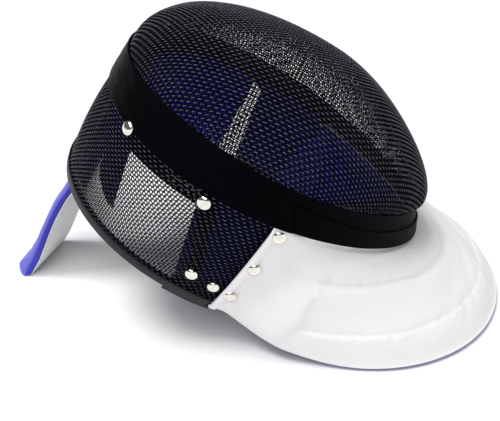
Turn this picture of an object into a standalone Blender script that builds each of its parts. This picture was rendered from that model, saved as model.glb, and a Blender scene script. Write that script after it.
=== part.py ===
# A fencing mask lying on its open back, face mesh up: crown towards -X, chin and bib towards +X,
# the wearer's right side towards -Y. It rests on the end of its tongue and on the edge of its bib.
# Metres, +Z up. Lengths along X are measured from the tongue's tip and shifted to the middle of
# the mask by the empty that carries every piece.

import math
from collections import namedtuple

import bmesh
import bpy
import numpy as np
from mathutils import Vector

# ---- driving dimensions ----

LENGTH = 0.412  # tongue's tip to the edge of the bib
CLEARANCE = 0.0003  # between pieces that touch
PAD_CLEARANCE = 0.0006  # from the wall to a pad whose facets aren't the wall's
ANGLE_STEP = 6  # degrees between the columns of the walls

# An oval lies in a plane across the mask: its crown and chin points on the centre plane, its half
# width, how square it is at the crown and at the chin, and how much it narrows towards the chin.
Oval = namedtuple("Oval", "crown_x crown_z chin_x chin_z half_width crown_square chin_square taper")
FACE_OVAL = Oval(0.1534, 0.2037, 0.3485, 0.0676, 0.1024, 2.22, 1.58, 0.0)
BAND_OVAL = Oval(0.1345, 0.1841, 0.3471, 0.0446, 0.1097, 2.0, 1.83, 0.11)
RIM_OVAL = Oval(0.0841, 0.1247, 0.2703, -0.0121, 0.1025, 2.01, 2.07, 0.02)
SIDE_BULGE = 0.0025  # the side mesh stands out this much between band and rim

MESH_THICKNESS = 0.0017  # two crossing wires
DOME_HEIGHT = 0.0584
DOME_TOP_SHARE = 0.569  # how far the top of the dome lies from the crown to the chin
DOME_FULLNESS = {"crown": 2.09, "side": 2.05, "chin": 1.37}
CHIN_BULGE = 0.0128  # the face mesh swells out over the band at the chin
DOME_RISE = (7, 15, 25, 36, 48, 61, 75)  # degrees up the dome, from the edge to the top
JOINT_DEPTH = -0.5  # the face mesh and the side mesh meet here, under the band

# Degrees run round the mask: 0 at the chin, 180 at the crown, 270 on the wearer's right. Depth runs
# down the wall: -1 at the edge of the face, 0 at the lower edge of the band, 1 at the rim.
SIDE_MESH_END = 285.3  # at depth 0, and the slant further at the rim
SIDE_MESH_SLANT = 5.0
BAND_LEATHER = 0.0015
STRIP_LEATHER = 0.0012
STRIP_START = 285.5
RIM_END = 285.6
RIM_LEATHER = 0.0012
RIM_LEG = 0.006
RIM_TURN = 0.0015

BIB_CLOTH = 0.003
BIB_HEM = 0.0007
BIB_HEM_WIDTH = 0.017  # share of the way round the bib
BIB_FRONT = 279.8  # degrees where the bib's front edge meets the band
BIB_FRONT_SLANT = 6.5
BIB_LIFT = 0.0016  # the lining shows this much below the bib
BIB_PUFF = 0.008
BIB_TUCK = 0.0045  # the free cloth starts this far inside the band's edge
BIB_TOP = 0.0015  # thickness of the sewn edge under the band
BIB_TOP_DEPTH = -0.22
WELT_RISE = 0.0016
WELTS = {"inner": 0.33, "outer": 0.71}  # share of the way from the band to the edge
WELT_HALF = 0.04
WELT_START = 0.112  # share of the way round the bib
WELT_START_HALF = 0.012
LINING_CLOTH = 0.0024
LINING_START = 0.105

# The edge of the bib from the jaw to its widest place, then half an oval round to the tip.
EdgeRow = namedtuple("EdgeRow", "x half_width height")
BIB_EDGE = (
    EdgeRow(0.204, 0.1002, 0.0340),
    EdgeRow(0.214, 0.1030, 0.0260),
    EdgeRow(0.228, 0.1048, 0.0185),
    EdgeRow(0.241, 0.1062, 0.0130),
    EdgeRow(0.254, 0.1076, 0.0090),
    EdgeRow(0.270, 0.1094, 0.0045),
    EdgeRow(0.287, 0.1112, 0.0012),
    EdgeRow(0.304, 0.1120, 0.0000),
)
TIP_CLOTH = 0.00245  # the bib's tip leans out this much past its inner edge
TIP_REACH = LENGTH - TIP_CLOTH - 0.304
TIP_SQUARE = 2.1

# The tongue from its tip on the surface up to the rim, and its seat on the inside of the crown mesh.
TongueRow = namedtuple("TongueRow", "x z thickness half_width bow")
TONGUE = (
    TongueRow(0.00375, 0.0000, 0.0075, 0.0300, 0.0000),
    TongueRow(0.0085, 0.0090, 0.0105, 0.0310, 0.0000),
    TongueRow(0.0185, 0.0205, 0.0100, 0.0312, 0.0000),
    TongueRow(0.0295, 0.0350, 0.0085, 0.0312, 0.0000),
    TongueRow(0.0410, 0.0510, 0.0074, 0.0312, 0.0000),
    TongueRow(0.0525, 0.0665, 0.0070, 0.0312, 0.0003),
    TongueRow(0.0640, 0.0810, 0.0070, 0.0312, 0.0010),
    TongueRow(0.0760, 0.0945, 0.0070, 0.0312, 0.0022),
    TongueRow(0.0880, 0.1105, 0.0069, 0.0308, 0.0036),
)
SeatRow = namedtuple("SeatRow", "depth lift thickness half_width")
TONGUE_SEAT = (
    SeatRow(0.88, -0.0086, 0.0066, 0.0300),
    SeatRow(0.70, -0.0064, 0.0062, 0.0296),
    SeatRow(0.50, -0.0054, 0.0058, 0.0290),
    SeatRow(0.28, -0.0050, 0.0055, 0.0284),
    SeatRow(0.06, -0.0048, 0.0052, 0.0276),
)
TONGUE_FACE = 0.0011

PAD_THICKNESS = 0.007
PAD_TOP = -0.35  # the pads start this high under the band
CROWN_PAD_START = 223.6  # degrees at the right temple
CROWN_PAD_END = 111  # degrees at the left temple
CROWN_PAD_END_SLANT = -11  # and the slant further at its lower edge
CROWN_PAD_LOW = 0.60  # depth of its lower edge behind the tongue
TEMPLE_DROP = 0.28  # and this much lower over the temples
JAW_PAD_REACH = 0.0083  # how far the jaw pads come in from the wall
JAW_PAD_LOW = 0.85
JAW_PAD_START = 256.3  # degrees of its rear edge where it crosses the band's lower edge
JAW_PAD_SLANT = 15.5
JAW_PAD_END = 286.0
JAW_PAD_END_SLANT = 5.0
FLAP_THICKNESS = 0.0028
STRIP_TOP = -0.3  # depth of the second mesh's upper end, behind the band
STRIP_FOOT = 256.9  # degrees where the rear edge of the second mesh crosses the band's lower edge
STRIP_SLANT = 20.1
STRIP_WIDTH = 4.0

# The pointed flap of padding at the right temple, from under the band down to its tip.
FlapRow = namedtuple("FlapRow", "depth start end")
FLAP = (
    FlapRow(-0.30, 224.7, 230.0),
    FlapRow(0.13, 224.7, 232.5),
    FlapRow(0.32, 224.7, 235.3),
    FlapRow(0.48, 225.6, 237.6),
    FlapRow(0.58, 228.2, 238.7),
    FlapRow(0.66, 232.8, 239.6),
    FlapRow(0.71, 237.2, 240.4),
)

RIVET_RADIUS = 0.0045
RIVET_HEIGHT = 0.0024
RIVET_SIDES = 12
Rivet = namedtuple("Rivet", "place degrees depth seat")
RIVETS = (
    Rivet("temple", 229.1, 0.0, "band"),
    Rivet("cheek", 260.0, 0.085, "mesh"),
    Rivet("rim", 273.4, 0.74, "mesh"),
    Rivet("jaw", 281.8, 0.77, "mesh"),
    Rivet("hem_low", 287.1, 0.75, "hem"),
    Rivet("hem_middle", 284.9, 0.39, "hem"),
    Rivet("hem_high", 282.4, 0.042, "hem"),
)

Finish = namedtuple("Finish", "colour roughness metallic")
FINISHES = {
    "black_mesh": Finish((0.012, 0.012, 0.015), 0.38, 0.6),
    "band_leather": Finish((0.014, 0.015, 0.019), 0.55, 0.0),
    "rim_leather": Finish((0.022, 0.023, 0.026), 0.50, 0.0),
    "bib_cloth": Finish((0.86, 0.84, 0.85), 0.80, 0.0),
    "blue_lining": Finish((0.045, 0.050, 0.330), 0.75, 0.0),
    "tongue_blue": Finish((0.120, 0.125, 0.620), 0.70, 0.0),
    "tongue_white": Finish((0.780, 0.780, 0.760), 0.85, 0.0),
    "rivet_steel": Finish((0.780, 0.770, 0.720), 0.22, 1.0),
}


# ---- the mask's walls ----


def oval_point(oval, degrees):
    turn = np.radians(np.asarray(degrees, float))
    cos, sin = np.cos(turn), np.sin(turn)
    square = np.where(cos < 0, oval.crown_square, oval.chin_square)
    along = (1 + np.sign(cos) * np.abs(cos) ** (2 / square)) / 2
    across = np.sign(sin) * np.abs(sin) ** (2 / square) * (1 - oval.taper * cos)
    return np.stack(
        [
            oval.crown_x + (oval.chin_x - oval.crown_x) * along,
            oval.half_width * across,
            oval.crown_z + (oval.chin_z - oval.crown_z) * along,
        ],
        -1,
    )


def plane_axes(oval):
    """The direction from crown to chin, and the direction the face looks in."""
    along = np.array([oval.chin_x - oval.crown_x, 0.0, oval.chin_z - oval.crown_z])
    along /= np.linalg.norm(along)
    return along, np.array([-along[2], 0.0, along[0]])


def unit(vectors):
    return vectors / np.linalg.norm(vectors, axis=-1, keepdims=True)


def wall_point(degrees, depth):
    degrees, depth = np.broadcast_arrays(np.asarray(degrees, float), np.asarray(depth, float))
    face, band, rim = (oval_point(oval, degrees) for oval in (FACE_OVAL, BAND_OVAL, RIM_OVAL))
    share = depth[..., None]
    point = np.where(share < 0, band + (face - band) * -share, band + (rim - band) * share)
    middle = np.array([BAND_OVAL.crown_x + BAND_OVAL.chin_x, 0, BAND_OVAL.crown_z + BAND_OVAL.chin_z]) / 2
    facing = plane_axes(BAND_OVAL)[1]
    outward = band - middle
    outward = unit(outward - (outward @ facing)[..., None] * facing)
    below = np.clip(depth, 0, 1)
    return point + outward * (SIDE_BULGE * 4 * below * (1 - below))[..., None]


def wall_normal(degrees, depth):
    round_step, down_step = 0.05, 1e-3
    round_the_mask = wall_point(degrees + round_step, depth) - wall_point(degrees - round_step, depth)
    down_the_wall = wall_point(degrees, depth + down_step) - wall_point(degrees, depth - down_step)
    return unit(np.cross(down_the_wall, round_the_mask))


def wall_skin(degrees, depth, lift):
    """A point on the wall, moved off it by lift: outwards if positive."""
    degrees, depth = np.broadcast_arrays(np.asarray(degrees, float), np.asarray(depth, float))
    lift = np.broadcast_to(np.asarray(lift, float), degrees.shape)
    return wall_point(degrees, depth) + wall_normal(degrees, depth) * lift[..., None]


def dome_rows():
    """The face mesh from its flange under the band up to just below its top, and the top itself."""
    degrees = np.arange(0, 360, ANGLE_STEP)
    edge = oval_point(FACE_OVAL, degrees)
    along, facing = plane_axes(FACE_OVAL)
    crown = np.array([FACE_OVAL.crown_x, 0, FACE_OVAL.crown_z])
    chin = np.array([FACE_OVAL.chin_x, 0, FACE_OVAL.chin_z])
    foot = crown + (chin - crown) * DOME_TOP_SHARE
    cos = np.cos(np.radians(degrees))
    end = np.where(cos < 0, DOME_FULLNESS["crown"], DOME_FULLNESS["chin"])
    fullness = DOME_FULLNESS["side"] + (end - DOME_FULLNESS["side"]) * cos**2
    rows = [wall_skin(degrees, JOINT_DEPTH, 0), wall_skin(degrees, (JOINT_DEPTH - 1) / 2, 0), edge]
    for rise in np.radians(DOME_RISE):
        inwards = np.cos(rise) ** (2 / fullness)
        upwards = np.sin(rise) ** (2 / fullness)
        swell = CHIN_BULGE * math.sqrt(max(math.sin(2 * rise), 0)) * np.clip(cos, 0, 1) ** 2
        row = foot + (edge - foot) * inwards[:, None] + facing * (DOME_HEIGHT * upwards)[:, None]
        rows.append(row + along * swell[:, None])
    return rows, foot + facing * DOME_HEIGHT


# ---- building meshes ----


def clear_scene():
    for found in list(bpy.data.objects):
        bpy.data.objects.remove(found, do_unlink=True)


def finish_material(name):
    if name in bpy.data.materials:
        return bpy.data.materials[name]
    finish = FINISHES[name]
    made = bpy.data.materials.new(name)
    made.use_nodes = True
    shader = made.node_tree.nodes["Principled BSDF"]
    shader.inputs["Base Color"].default_value = (*finish.colour, 1)
    shader.inputs["Roughness"].default_value = finish.roughness
    shader.inputs["Metallic"].default_value = finish.metallic
    made.diffuse_color = (*finish.colour, 1)
    return made


def add_object(name, bm, finish, carrier):
    bmesh.ops.recalc_face_normals(bm, faces=bm.faces)
    mesh = bpy.data.meshes.new(name)
    bm.to_mesh(mesh)
    bm.free()
    mesh.materials.append(finish_material(finish))
    mesh.shade_smooth()
    mesh.set_sharp_from_angle(angle=math.radians(40))
    made = bpy.data.objects.new(name, mesh)
    bpy.context.scene.collection.objects.link(made)
    made.parent = carrier
    return made


def add_rows(bm, rows, ring):
    """Faces between rows of points; a ring joins each row's end to its start."""
    lines = [[bm.verts.new(point) for point in row] for row in rows]
    count = len(lines[0])
    for upper, lower in zip(lines, lines[1:]):
        for i in range(count if ring else count - 1):
            j = (i + 1) % count
            bm.faces.new((upper[i], upper[j], lower[j], lower[i]))
    return lines


def shell(name, outer, inner, finish, carrier):
    """A closed sheet between two equal grids of points, joined round its four edges."""
    bm = bmesh.new()
    front = add_rows(bm, outer, ring=False)
    back = add_rows(bm, inner, ring=False)
    borders = (
        (front[0], back[0]),
        (front[-1], back[-1]),
        ([row[0] for row in front], [row[0] for row in back]),
        ([row[-1] for row in front], [row[-1] for row in back]),
    )
    for near, far in borders:
        for i in range(len(near) - 1):
            bm.faces.new((near[i], near[i + 1], far[i + 1], far[i]))
    return add_object(name, bm, finish, carrier)


def thicken(made, thickness):
    """Thickness inwards from the modelled surface."""
    solid = made.modifiers.new("Thickness", "SOLIDIFY")
    solid.thickness = thickness
    solid.offset = -1
    solid.use_even_offset = False


def wall_sheet(name, degrees, depths, lift, thickness, finish, carrier):
    """A sheet that follows the wall; degrees may be a grid that slants with depth."""
    degrees = np.asarray(degrees, float)
    depths = np.asarray(depths, float)
    if degrees.ndim == 1:
        degrees, depths = np.meshgrid(degrees, depths)
    outer = wall_skin(degrees, depths, lift)
    inner = wall_skin(degrees, depths, lift - thickness)
    return shell(name, outer, inner, finish, carrier)


def wall_profile(name, degrees, profile, finish, carrier):
    """A closed profile of (lift, reach past the rim) carried along the rim's edge."""
    bm = bmesh.new()
    edge = wall_point(degrees, 1.0)
    out = wall_normal(degrees, 1.0)
    past = unit(wall_point(degrees, 1.0) - wall_point(degrees, 0.9))
    rows = [edge + out * lift + past * reach for lift, reach in profile]
    sections = [[row[i] for row in rows] for i in range(len(degrees))]
    lines = add_rows(bm, sections, ring=True)
    bm.faces.new(lines[0])
    bm.faces.new(lines[-1])
    return add_object(name, bm, finish, carrier)


def angles_between(start, end):
    """Columns on whole steps of the wall's angles, with the two ends."""
    first = math.ceil(min(start, end) / ANGLE_STEP + 0.2) * ANGLE_STEP
    inside = [a for a in range(first, 720, ANGLE_STEP) if a < max(start, end) - 0.2 * ANGLE_STEP]
    return np.array([min(start, end), *inside, max(start, end)], float)


def smooth_step(value):
    value = np.clip(value, 0, 1)
    return value * value * (3 - 2 * value)


def even_lengths(points, shares):
    """Points at shares of the length of a line through many points."""
    steps = np.linalg.norm(np.diff(points, axis=0), axis=1)
    run = np.concatenate([[0], np.cumsum(steps)]) / steps.sum()
    return np.stack([np.interp(shares, run, points[:, i]) for i in range(3)], -1)


# ---- mesh and leather ----


def build_face_mesh(carrier):
    rows, top = dome_rows()
    bm = bmesh.new()
    lines = add_rows(bm, rows, ring=True)
    peak = bm.verts.new(top)
    last = lines[-1]
    for i, point in enumerate(last):
        bm.faces.new((point, last[(i + 1) % len(last)], peak))
    thicken(add_object("face_mesh", bm, "black_mesh", carrier), MESH_THICKNESS)


def build_side_mesh(carrier):
    depths = np.array([JOINT_DEPTH + 0.012, -0.05, 0.24, 0.5, 0.76, 0.988])
    ends = SIDE_MESH_END + SIDE_MESH_SLANT * np.clip(depths, 0, 1)
    middle = angles_between(360 - SIDE_MESH_END, SIDE_MESH_END)[1:-1]
    last = middle[-1]
    degrees = np.array([[360 - end, 360 - (end + last) / 2, *middle, (end + last) / 2, end] for end in ends])
    grid = np.repeat(depths[:, None], degrees.shape[1], 1)
    wall_sheet("side_mesh", degrees, grid, 0, MESH_THICKNESS, "black_mesh", carrier)


def build_trim_band(carrier):
    degrees = np.arange(0, 360, ANGLE_STEP)
    inside, outside = CLEARANCE, CLEARANCE + BAND_LEATHER
    top = -1 + 0.09 * np.clip(np.cos(np.radians(degrees)), 0, 1) ** 2
    profile = ((top, inside), (top, outside), (-0.5, outside), (0, outside), (0, inside), (-0.5, inside))
    bm = bmesh.new()
    rows = [wall_skin(degrees, depth, lift) for depth, lift in profile]
    lines = add_rows(bm, rows, ring=True)
    first, last = lines[0], lines[-1]
    for i in range(len(first)):
        j = (i + 1) % len(first)
        bm.faces.new((last[i], last[j], first[j], first[i]))
    add_object("trim_band", bm, "band_leather", carrier)


def build_chin_strip(carrier):
    """A second layer over the lower half of the band, lapped over it at the jaw."""
    start, end = STRIP_START, 720 - STRIP_START
    degrees = angles_between(start, end)
    from_end = np.minimum(degrees - start, end - degrees)
    top = -0.66 + 0.18 * smooth_step(from_end / 30)
    depths = top + (-0.01 - top) * np.linspace(0, 1, 4)[:, None]
    grid = np.repeat(degrees[None, :], 4, 0)
    lift = 2 * CLEARANCE + BAND_LEATHER + STRIP_LEATHER
    wall_sheet("chin_strip", grid, depths, lift, STRIP_LEATHER, "band_leather", carrier)


def build_rim_binding(carrier):
    outer_face = CLEARANCE + RIM_LEATHER
    inner_face = -MESH_THICKNESS - CLEARANCE
    corner = RIM_LEATHER / 2
    profile = (
        (outer_face, -RIM_LEG),
        (outer_face, RIM_TURN - corner),
        (outer_face - corner, RIM_TURN),
        (inner_face - RIM_LEATHER + corner, RIM_TURN),
        (inner_face - RIM_LEATHER, RIM_TURN - corner),
        (inner_face - RIM_LEATHER, -RIM_LEG),
        (inner_face, -RIM_LEG),
        (inner_face, RIM_TURN - RIM_LEATHER),
        (CLEARANCE, RIM_TURN - RIM_LEATHER),
        (CLEARANCE, -RIM_LEG),
    )
    degrees = angles_between(360 - RIM_END, RIM_END)
    wall_profile("rim_binding", degrees, profile, "rim_leather", carrier)


def build_jaw_edging(carrier, side, mirrored):
    """The edge of the inner leather, showing below the rim at the jaw."""
    outer_face = -MESH_THICKNESS - 2 * CLEARANCE - RIM_LEATHER
    inner_face = outer_face - 0.0015
    top, under_rim, foot = -0.008, RIM_TURN + CLEARANCE, RIM_TURN + CLEARANCE + 0.0035
    toe = CLEARANCE + 0.0005
    profile = (
        (outer_face, top),
        (outer_face, under_rim),
        (toe, under_rim),
        (toe, foot),
        (inner_face, foot),
        (inner_face, top),
    )
    degrees = angles_between(270.5, 285.2)
    if mirrored:
        degrees = 360 - degrees
    wall_profile(f"jaw_edging_{side}", degrees, profile, "rim_leather", carrier)


def build_mesh_strip(carrier, side, mirrored):
    """The folded edge of a second layer of mesh behind the side mesh."""
    depths = np.array([STRIP_TOP, -0.11, 0.13, 0.37, 0.61, JAW_PAD_LOW])
    starts = STRIP_FOOT + STRIP_SLANT * depths
    degrees = starts[:, None] + np.array([0, STRIP_WIDTH])
    if mirrored:
        degrees = 360 - degrees
    grid = np.repeat(depths[:, None], degrees.shape[1], 1)
    lift = -MESH_THICKNESS - PAD_CLEARANCE
    wall_sheet(f"mesh_strip_{side}", degrees, grid, lift, MESH_THICKNESS, "black_mesh", carrier)


# ---- padding ----


def pad(name, degrees, depths, lift, thickness, finish, carrier):
    """A padded sheet against the inside of the wall, thinner towards its four edges."""
    rows, columns = degrees.shape
    across = np.linspace(-1, 1, columns)[None, :]
    down = np.linspace(-1, 1, rows)[:, None]
    full = 0.3 + 0.7 * (1 - across**6) * (1 - down**6)
    outer = wall_skin(degrees, depths, lift)
    inner = wall_skin(degrees, depths, lift - thickness * full)
    shell(name, outer, inner, finish, carrier)


def build_crown_pad(carrier):
    """Round the crown inside the tongue, and down over both temples."""
    rows, columns = 6, 22
    down = np.linspace(0, 1, rows)[:, None]
    start, end = CROWN_PAD_START, CROWN_PAD_END + CROWN_PAD_END_SLANT * down
    degrees = start + (end - start) * np.linspace(0, 1, columns)[None, :]
    low = CROWN_PAD_LOW + TEMPLE_DROP * smooth_step((np.abs(degrees - 180) - 16) / 14)
    depths = PAD_TOP + (low - PAD_TOP) * down
    beside = -MESH_THICKNESS - PAD_CLEARANCE
    seat = np.array(TONGUE_SEAT)[::-1]
    head_side = seat[:, 1] - seat[:, 2] / 2 - TONGUE_FACE - 2 * PAD_CLEARANCE
    over_tongue = np.interp(depths, seat[:, 0], head_side)
    lift = over_tongue + (beside - over_tongue) * smooth_step((np.abs(degrees - 180) - 20) / 16)
    pad("crown_pad", degrees, depths, lift, PAD_THICKNESS, "blue_lining", carrier)


def build_temple_flap(carrier):
    """A pointed tab of padding that hangs towards the rim on the wearer's right."""
    rows = np.array(FLAP)
    start, end = rows[:, 1:2], rows[:, 2:3]
    degrees = start + (end - start) * np.linspace(0, 1, 4)[None, :]
    depths = rows[:, :1] + 0 * degrees
    lift = -MESH_THICKNESS - PAD_CLEARANCE
    pad("temple_flap", degrees, depths, lift, FLAP_THICKNESS, "blue_lining", carrier)


def build_jaw_pad(carrier, side, mirrored):
    """Over the second mesh at the cheek, then against the side mesh up to the bib."""
    down = np.linspace(0, 1, 6)[:, None]
    depths = PAD_TOP + (JAW_PAD_LOW - PAD_TOP) * down
    held = np.clip(depths, STRIP_TOP, 1)
    start = JAW_PAD_START + JAW_PAD_SLANT * held
    step = STRIP_FOOT + STRIP_SLANT * held + STRIP_WIDTH + 0.4
    end = JAW_PAD_END + JAW_PAD_END_SLANT * np.clip(depths, 0, 1)
    over_strip = start + (step - start) * np.linspace(0, 1, 4)[None, :]
    beyond = step + 0.8 + (end - step - 0.8) * np.linspace(0, 1, 5)[None, :]
    degrees = np.concatenate([over_strip, beyond], axis=1)
    depths = depths + 0 * degrees
    if mirrored:
        degrees = 360 - degrees
    on_mesh = -MESH_THICKNESS - PAD_CLEARANCE
    lift = np.repeat([2 * on_mesh, on_mesh], [4, 5])[None, :] + 0 * degrees
    pad(f"jaw_pad_{side}", degrees, depths, lift, JAW_PAD_REACH + lift, "blue_lining", carrier)


# ---- bib ----


def bib_edge_line():
    """Many points along the bib's edge, from the right jaw round the tip to the left jaw."""
    rows = np.array(BIB_EDGE)
    fine = np.linspace(0, len(rows) - 1, 60)
    side = np.stack([np.interp(fine, range(len(rows)), rows[:, i]) for i in range(3)], -1)
    turn = np.radians(np.linspace(90, 0, 60))[1:]
    last = BIB_EDGE[-1]
    tip_x = last.x + TIP_REACH * np.cos(turn) ** (2 / TIP_SQUARE)
    tip_y = last.half_width * np.sin(turn) ** (2 / TIP_SQUARE)
    right = np.concatenate(
        [
            np.stack([side[:, 0], -side[:, 1], side[:, 2]], -1),
            np.stack([tip_x, -tip_y, 0 * tip_x], -1),
        ]
    )
    left = right[-2::-1] * np.array([1, -1, 1])
    return np.concatenate([right, left])


def bib_columns():
    """Shares of the way round the bib, close together at the hems and at the welts' ends."""
    hem = [0, BIB_HEM_WIDTH - 0.004, BIB_HEM_WIDTH, 0.028, 0.056, 0.085]
    welt = [WELT_START - WELT_START_HALF, WELT_START, WELT_START + WELT_START_HALF]
    front = np.linspace(WELT_START + 3 * WELT_START_HALF, 0.5, 12)
    half = np.array([*hem, *welt, *front])
    return np.concatenate([half, 1 - half[-2::-1]])


def bib_rows():
    """Shares of the way from the band to the bib's edge, close together at the welts."""
    rows = [0, 0.07, 0.18]
    for centre in WELTS.values():
        rows += [centre - WELT_HALF, centre - 0.3 * WELT_HALF, centre + 0.3 * WELT_HALF, centre + WELT_HALF]
        rows.append(centre + 0.18)
    return np.array([*rows[:-1], 0.86, 0.95, 1])


def bib_degrees(shares):
    """Where shares of the band's length from one front edge of the bib to the other lie round the mask."""
    fine = np.linspace(BIB_FRONT, 720 - BIB_FRONT, 321)
    band = oval_point(BAND_OVAL, fine)
    steps = np.linalg.norm(np.diff(band, axis=0), axis=1)
    run = np.concatenate([[0], np.cumsum(steps)]) / steps.sum()
    return np.interp(shares, run, fine)


def bib_surface(shares, downs):
    """The bib's inner surface: on the side mesh at the jaws, free and puffed out round the chin."""
    shares, downs = np.meshgrid(shares, downs)
    degrees = bib_degrees(shares)
    near_end = np.minimum(shares, 1 - shares)
    side = np.where(shares < 0.5, 1, -1)
    on_mesh = wall_skin(degrees + side * BIB_FRONT_SLANT * downs, 0.012 + 0.984 * downs, PAD_CLEARANCE)
    edge = even_lengths(bib_edge_line(), shares.ravel()).reshape(*shares.shape, 3)
    top = oval_point(BAND_OVAL, degrees)
    facing = unit(np.cross(edge - top, np.gradient(top, axis=1)))
    free = (top - facing * BIB_TUCK) * (1 - downs[..., None]) + edge * downs[..., None]
    free += facing * (BIB_PUFF * np.sin(np.pi * downs**1.25))[..., None]
    loose = smooth_step((near_end - 0.028) / 0.08)[..., None]
    return on_mesh * (1 - loose) + free * loose


def bib_top(shares, lift):
    """Two rows of the sewn edge: below the band on the side mesh, tucked behind the band elsewhere."""
    near_end = np.minimum(shares, 1 - shares)
    behind = smooth_step((near_end - 0.028) / 0.028)
    raised = smooth_step((near_end - 0.056) / 0.029)
    lifts = PAD_CLEARANCE + lift - behind * (PAD_CLEARANCE + BIB_TOP)
    top = wall_skin(bib_degrees(shares), 0.004 + (BIB_TOP_DEPTH - 0.004) * raised, lifts)
    return top, wall_skin(bib_degrees(shares), 0.008, lifts)


def grid_normals(grid):
    return unit(np.cross(np.gradient(grid, axis=0), np.gradient(grid, axis=1)))


def bump(distance, half):
    return np.clip(1.6 * (1 - np.abs(distance) / half), 0, 1)


def build_bib(carrier):
    shares, downs = bib_columns(), bib_rows()
    inner = bib_surface(shares, downs)
    normals = grid_normals(inner)
    share, down = np.meshgrid(shares, downs)
    near_end = np.minimum(share, 1 - share)
    thickness = BIB_CLOTH + (BIB_TOP - BIB_CLOTH) * (1 - smooth_step(down / 0.07))
    thickness += BIB_HEM * (near_end < BIB_HEM_WIDTH - 0.001) * (down > 0.01)
    inside_front = smooth_step((near_end - WELT_START + 0.004) / 0.008)
    welt = sum(bump(down - centre, WELT_HALF) for centre in WELTS.values()) * inside_front
    radial = bump(near_end - WELT_START, WELT_START_HALF) * (down > WELTS["inner"])
    thickness += WELT_RISE * np.maximum(welt, radial)
    outer = inner + normals * thickness[..., None]
    heights = inner[-1, :, 2] + BIB_LIFT
    inner[-1, :, 2] = heights
    outer[-1, :, 2] = heights
    outer = np.concatenate([np.stack(bib_top(shares, BIB_TOP)), outer])
    inner = np.concatenate([np.stack(bib_top(shares, 0)), inner])
    shell("bib", outer, inner, "bib_cloth", carrier)


def build_bib_lining(carrier):
    columns = bib_columns()
    shares = columns[(columns > LINING_START) & (columns < 1 - LINING_START)]
    rows = bib_rows()
    middles = np.array([centre + 0.3 * WELT_HALF * turn for centre in WELTS.values() for turn in (-1, 1)])
    away = np.abs(rows[:, None] - middles[None, :]).min(1) > 0.001
    grid = bib_surface(shares, rows[away & (rows > 0.05)])
    normals = grid_normals(grid)
    outer = grid - normals * CLEARANCE
    inner = grid - normals * (CLEARANCE + LINING_CLOTH)
    outer[-1, :, 2] = inner[-1, :, 2] = grid[-1, :, 2]
    shell("bib_lining", outer, inner, "blue_lining", carrier)


# ---- tongue ----


def tongue_sections(sides, offset):
    """Lines across the tongue, free rows first; offset maps each row's thickness towards the head."""
    rows = np.array(TONGUE)
    centres = np.stack([rows[:, 0], 0 * rows[:, 0], rows[:, 1]], -1)
    run = unit(np.gradient(centres, axis=0))
    head_side = np.stack([run[:, 2], 0 * run[:, 0], -run[:, 0]], -1)
    head_side[0] = (1, 0, 0)
    lines = []
    for row, centre, facing in zip(TONGUE, centres, head_side):
        middle = centre + facing * offset(row.thickness)
        across = np.outer(sides * row.half_width, (0, 1, 0))
        lines.append(middle + across + np.outer(row.bow * sides**2, facing))
    for row in TONGUE_SEAT:
        degrees = 180 - np.degrees(sides * row.half_width / RIM_OVAL.half_width)
        lines.append(wall_skin(degrees, row.depth, row.lift - offset(row.thickness)))
    return np.array(lines)


def build_tongue(carrier):
    sides = np.array([-0.94, -0.62, -0.31, 0, 0.31, 0.62, 0.94])
    outer = tongue_sections(sides, lambda thickness: -thickness / 2)
    inner = tongue_sections(sides, lambda thickness: thickness / 2)
    round_edge = [tongue_sections(np.array([-1.0, 1.0]), lambda t, k=k: k * t) for k in (-0.17, 0.17)]
    bm = bmesh.new()
    sections = []
    for i in range(len(outer)):
        behind, before = round_edge[0][i], round_edge[1][i]
        sections.append([behind[0], *outer[i], behind[1], before[1], *inner[i][::-1], before[0]])
    lines = add_rows(bm, sections, ring=True)
    bm.faces.new(lines[0])
    bm.faces.new(lines[-1])
    add_object("tongue", bm, "tongue_blue", carrier)


def build_tongue_face(carrier):
    """The pale cloth on the head side, from above the tip up to the seat."""
    sides = np.array([-0.92, -0.62, -0.31, 0, 0.31, 0.62, 0.92])
    used = slice(1, len(TONGUE) + len(TONGUE_SEAT) - 1)
    outer = tongue_sections(sides, lambda thickness: thickness / 2 + PAD_CLEARANCE)[used]
    inner = tongue_sections(sides, lambda thickness: thickness / 2 + PAD_CLEARANCE + TONGUE_FACE)[used]
    shell("tongue_face", outer, inner, "tongue_white", carrier)


# ---- rivets ----


def rivet_mesh():
    """A domed head on a flat foot, its axis along +Z."""
    outline = ((1.0, 0.0), (0.98, 0.28), (0.68, 0.78))  # shares of radius and height
    bm = bmesh.new()
    turn = np.radians(np.arange(RIVET_SIDES) * 360 / RIVET_SIDES)
    circle = np.stack([np.cos(turn), np.sin(turn)], -1) * RIVET_RADIUS
    rows = [[(*(point * wide), RIVET_HEIGHT * high) for point in circle] for wide, high in outline]
    lines = add_rows(bm, rows, ring=True)
    bm.faces.new(lines[0])
    peak = bm.verts.new((0, 0, RIVET_HEIGHT))
    last = lines[-1]
    for i, point in enumerate(last):
        bm.faces.new((point, last[(i + 1) % RIVET_SIDES], peak))
    return bm


def build_rivets(carrier):
    seats = {
        "mesh": CLEARANCE,
        "band": 2 * CLEARANCE + BAND_LEATHER,
        "hem": PAD_CLEARANCE + CLEARANCE + BIB_CLOTH + BIB_HEM,
    }
    for rivet in RIVETS:
        for side, turn in (("right", rivet.degrees), ("left", 360 - rivet.degrees)):
            made = add_object(f"rivet_{rivet.place}_{side}", rivet_mesh(), "rivet_steel", carrier)
            foot = Vector(wall_skin(turn, rivet.depth, seats[rivet.seat]))
            up = Vector(wall_normal(turn, rivet.depth))
            made.location = foot
            made.rotation_euler = up.to_track_quat("Z", "Y").to_euler()


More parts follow.
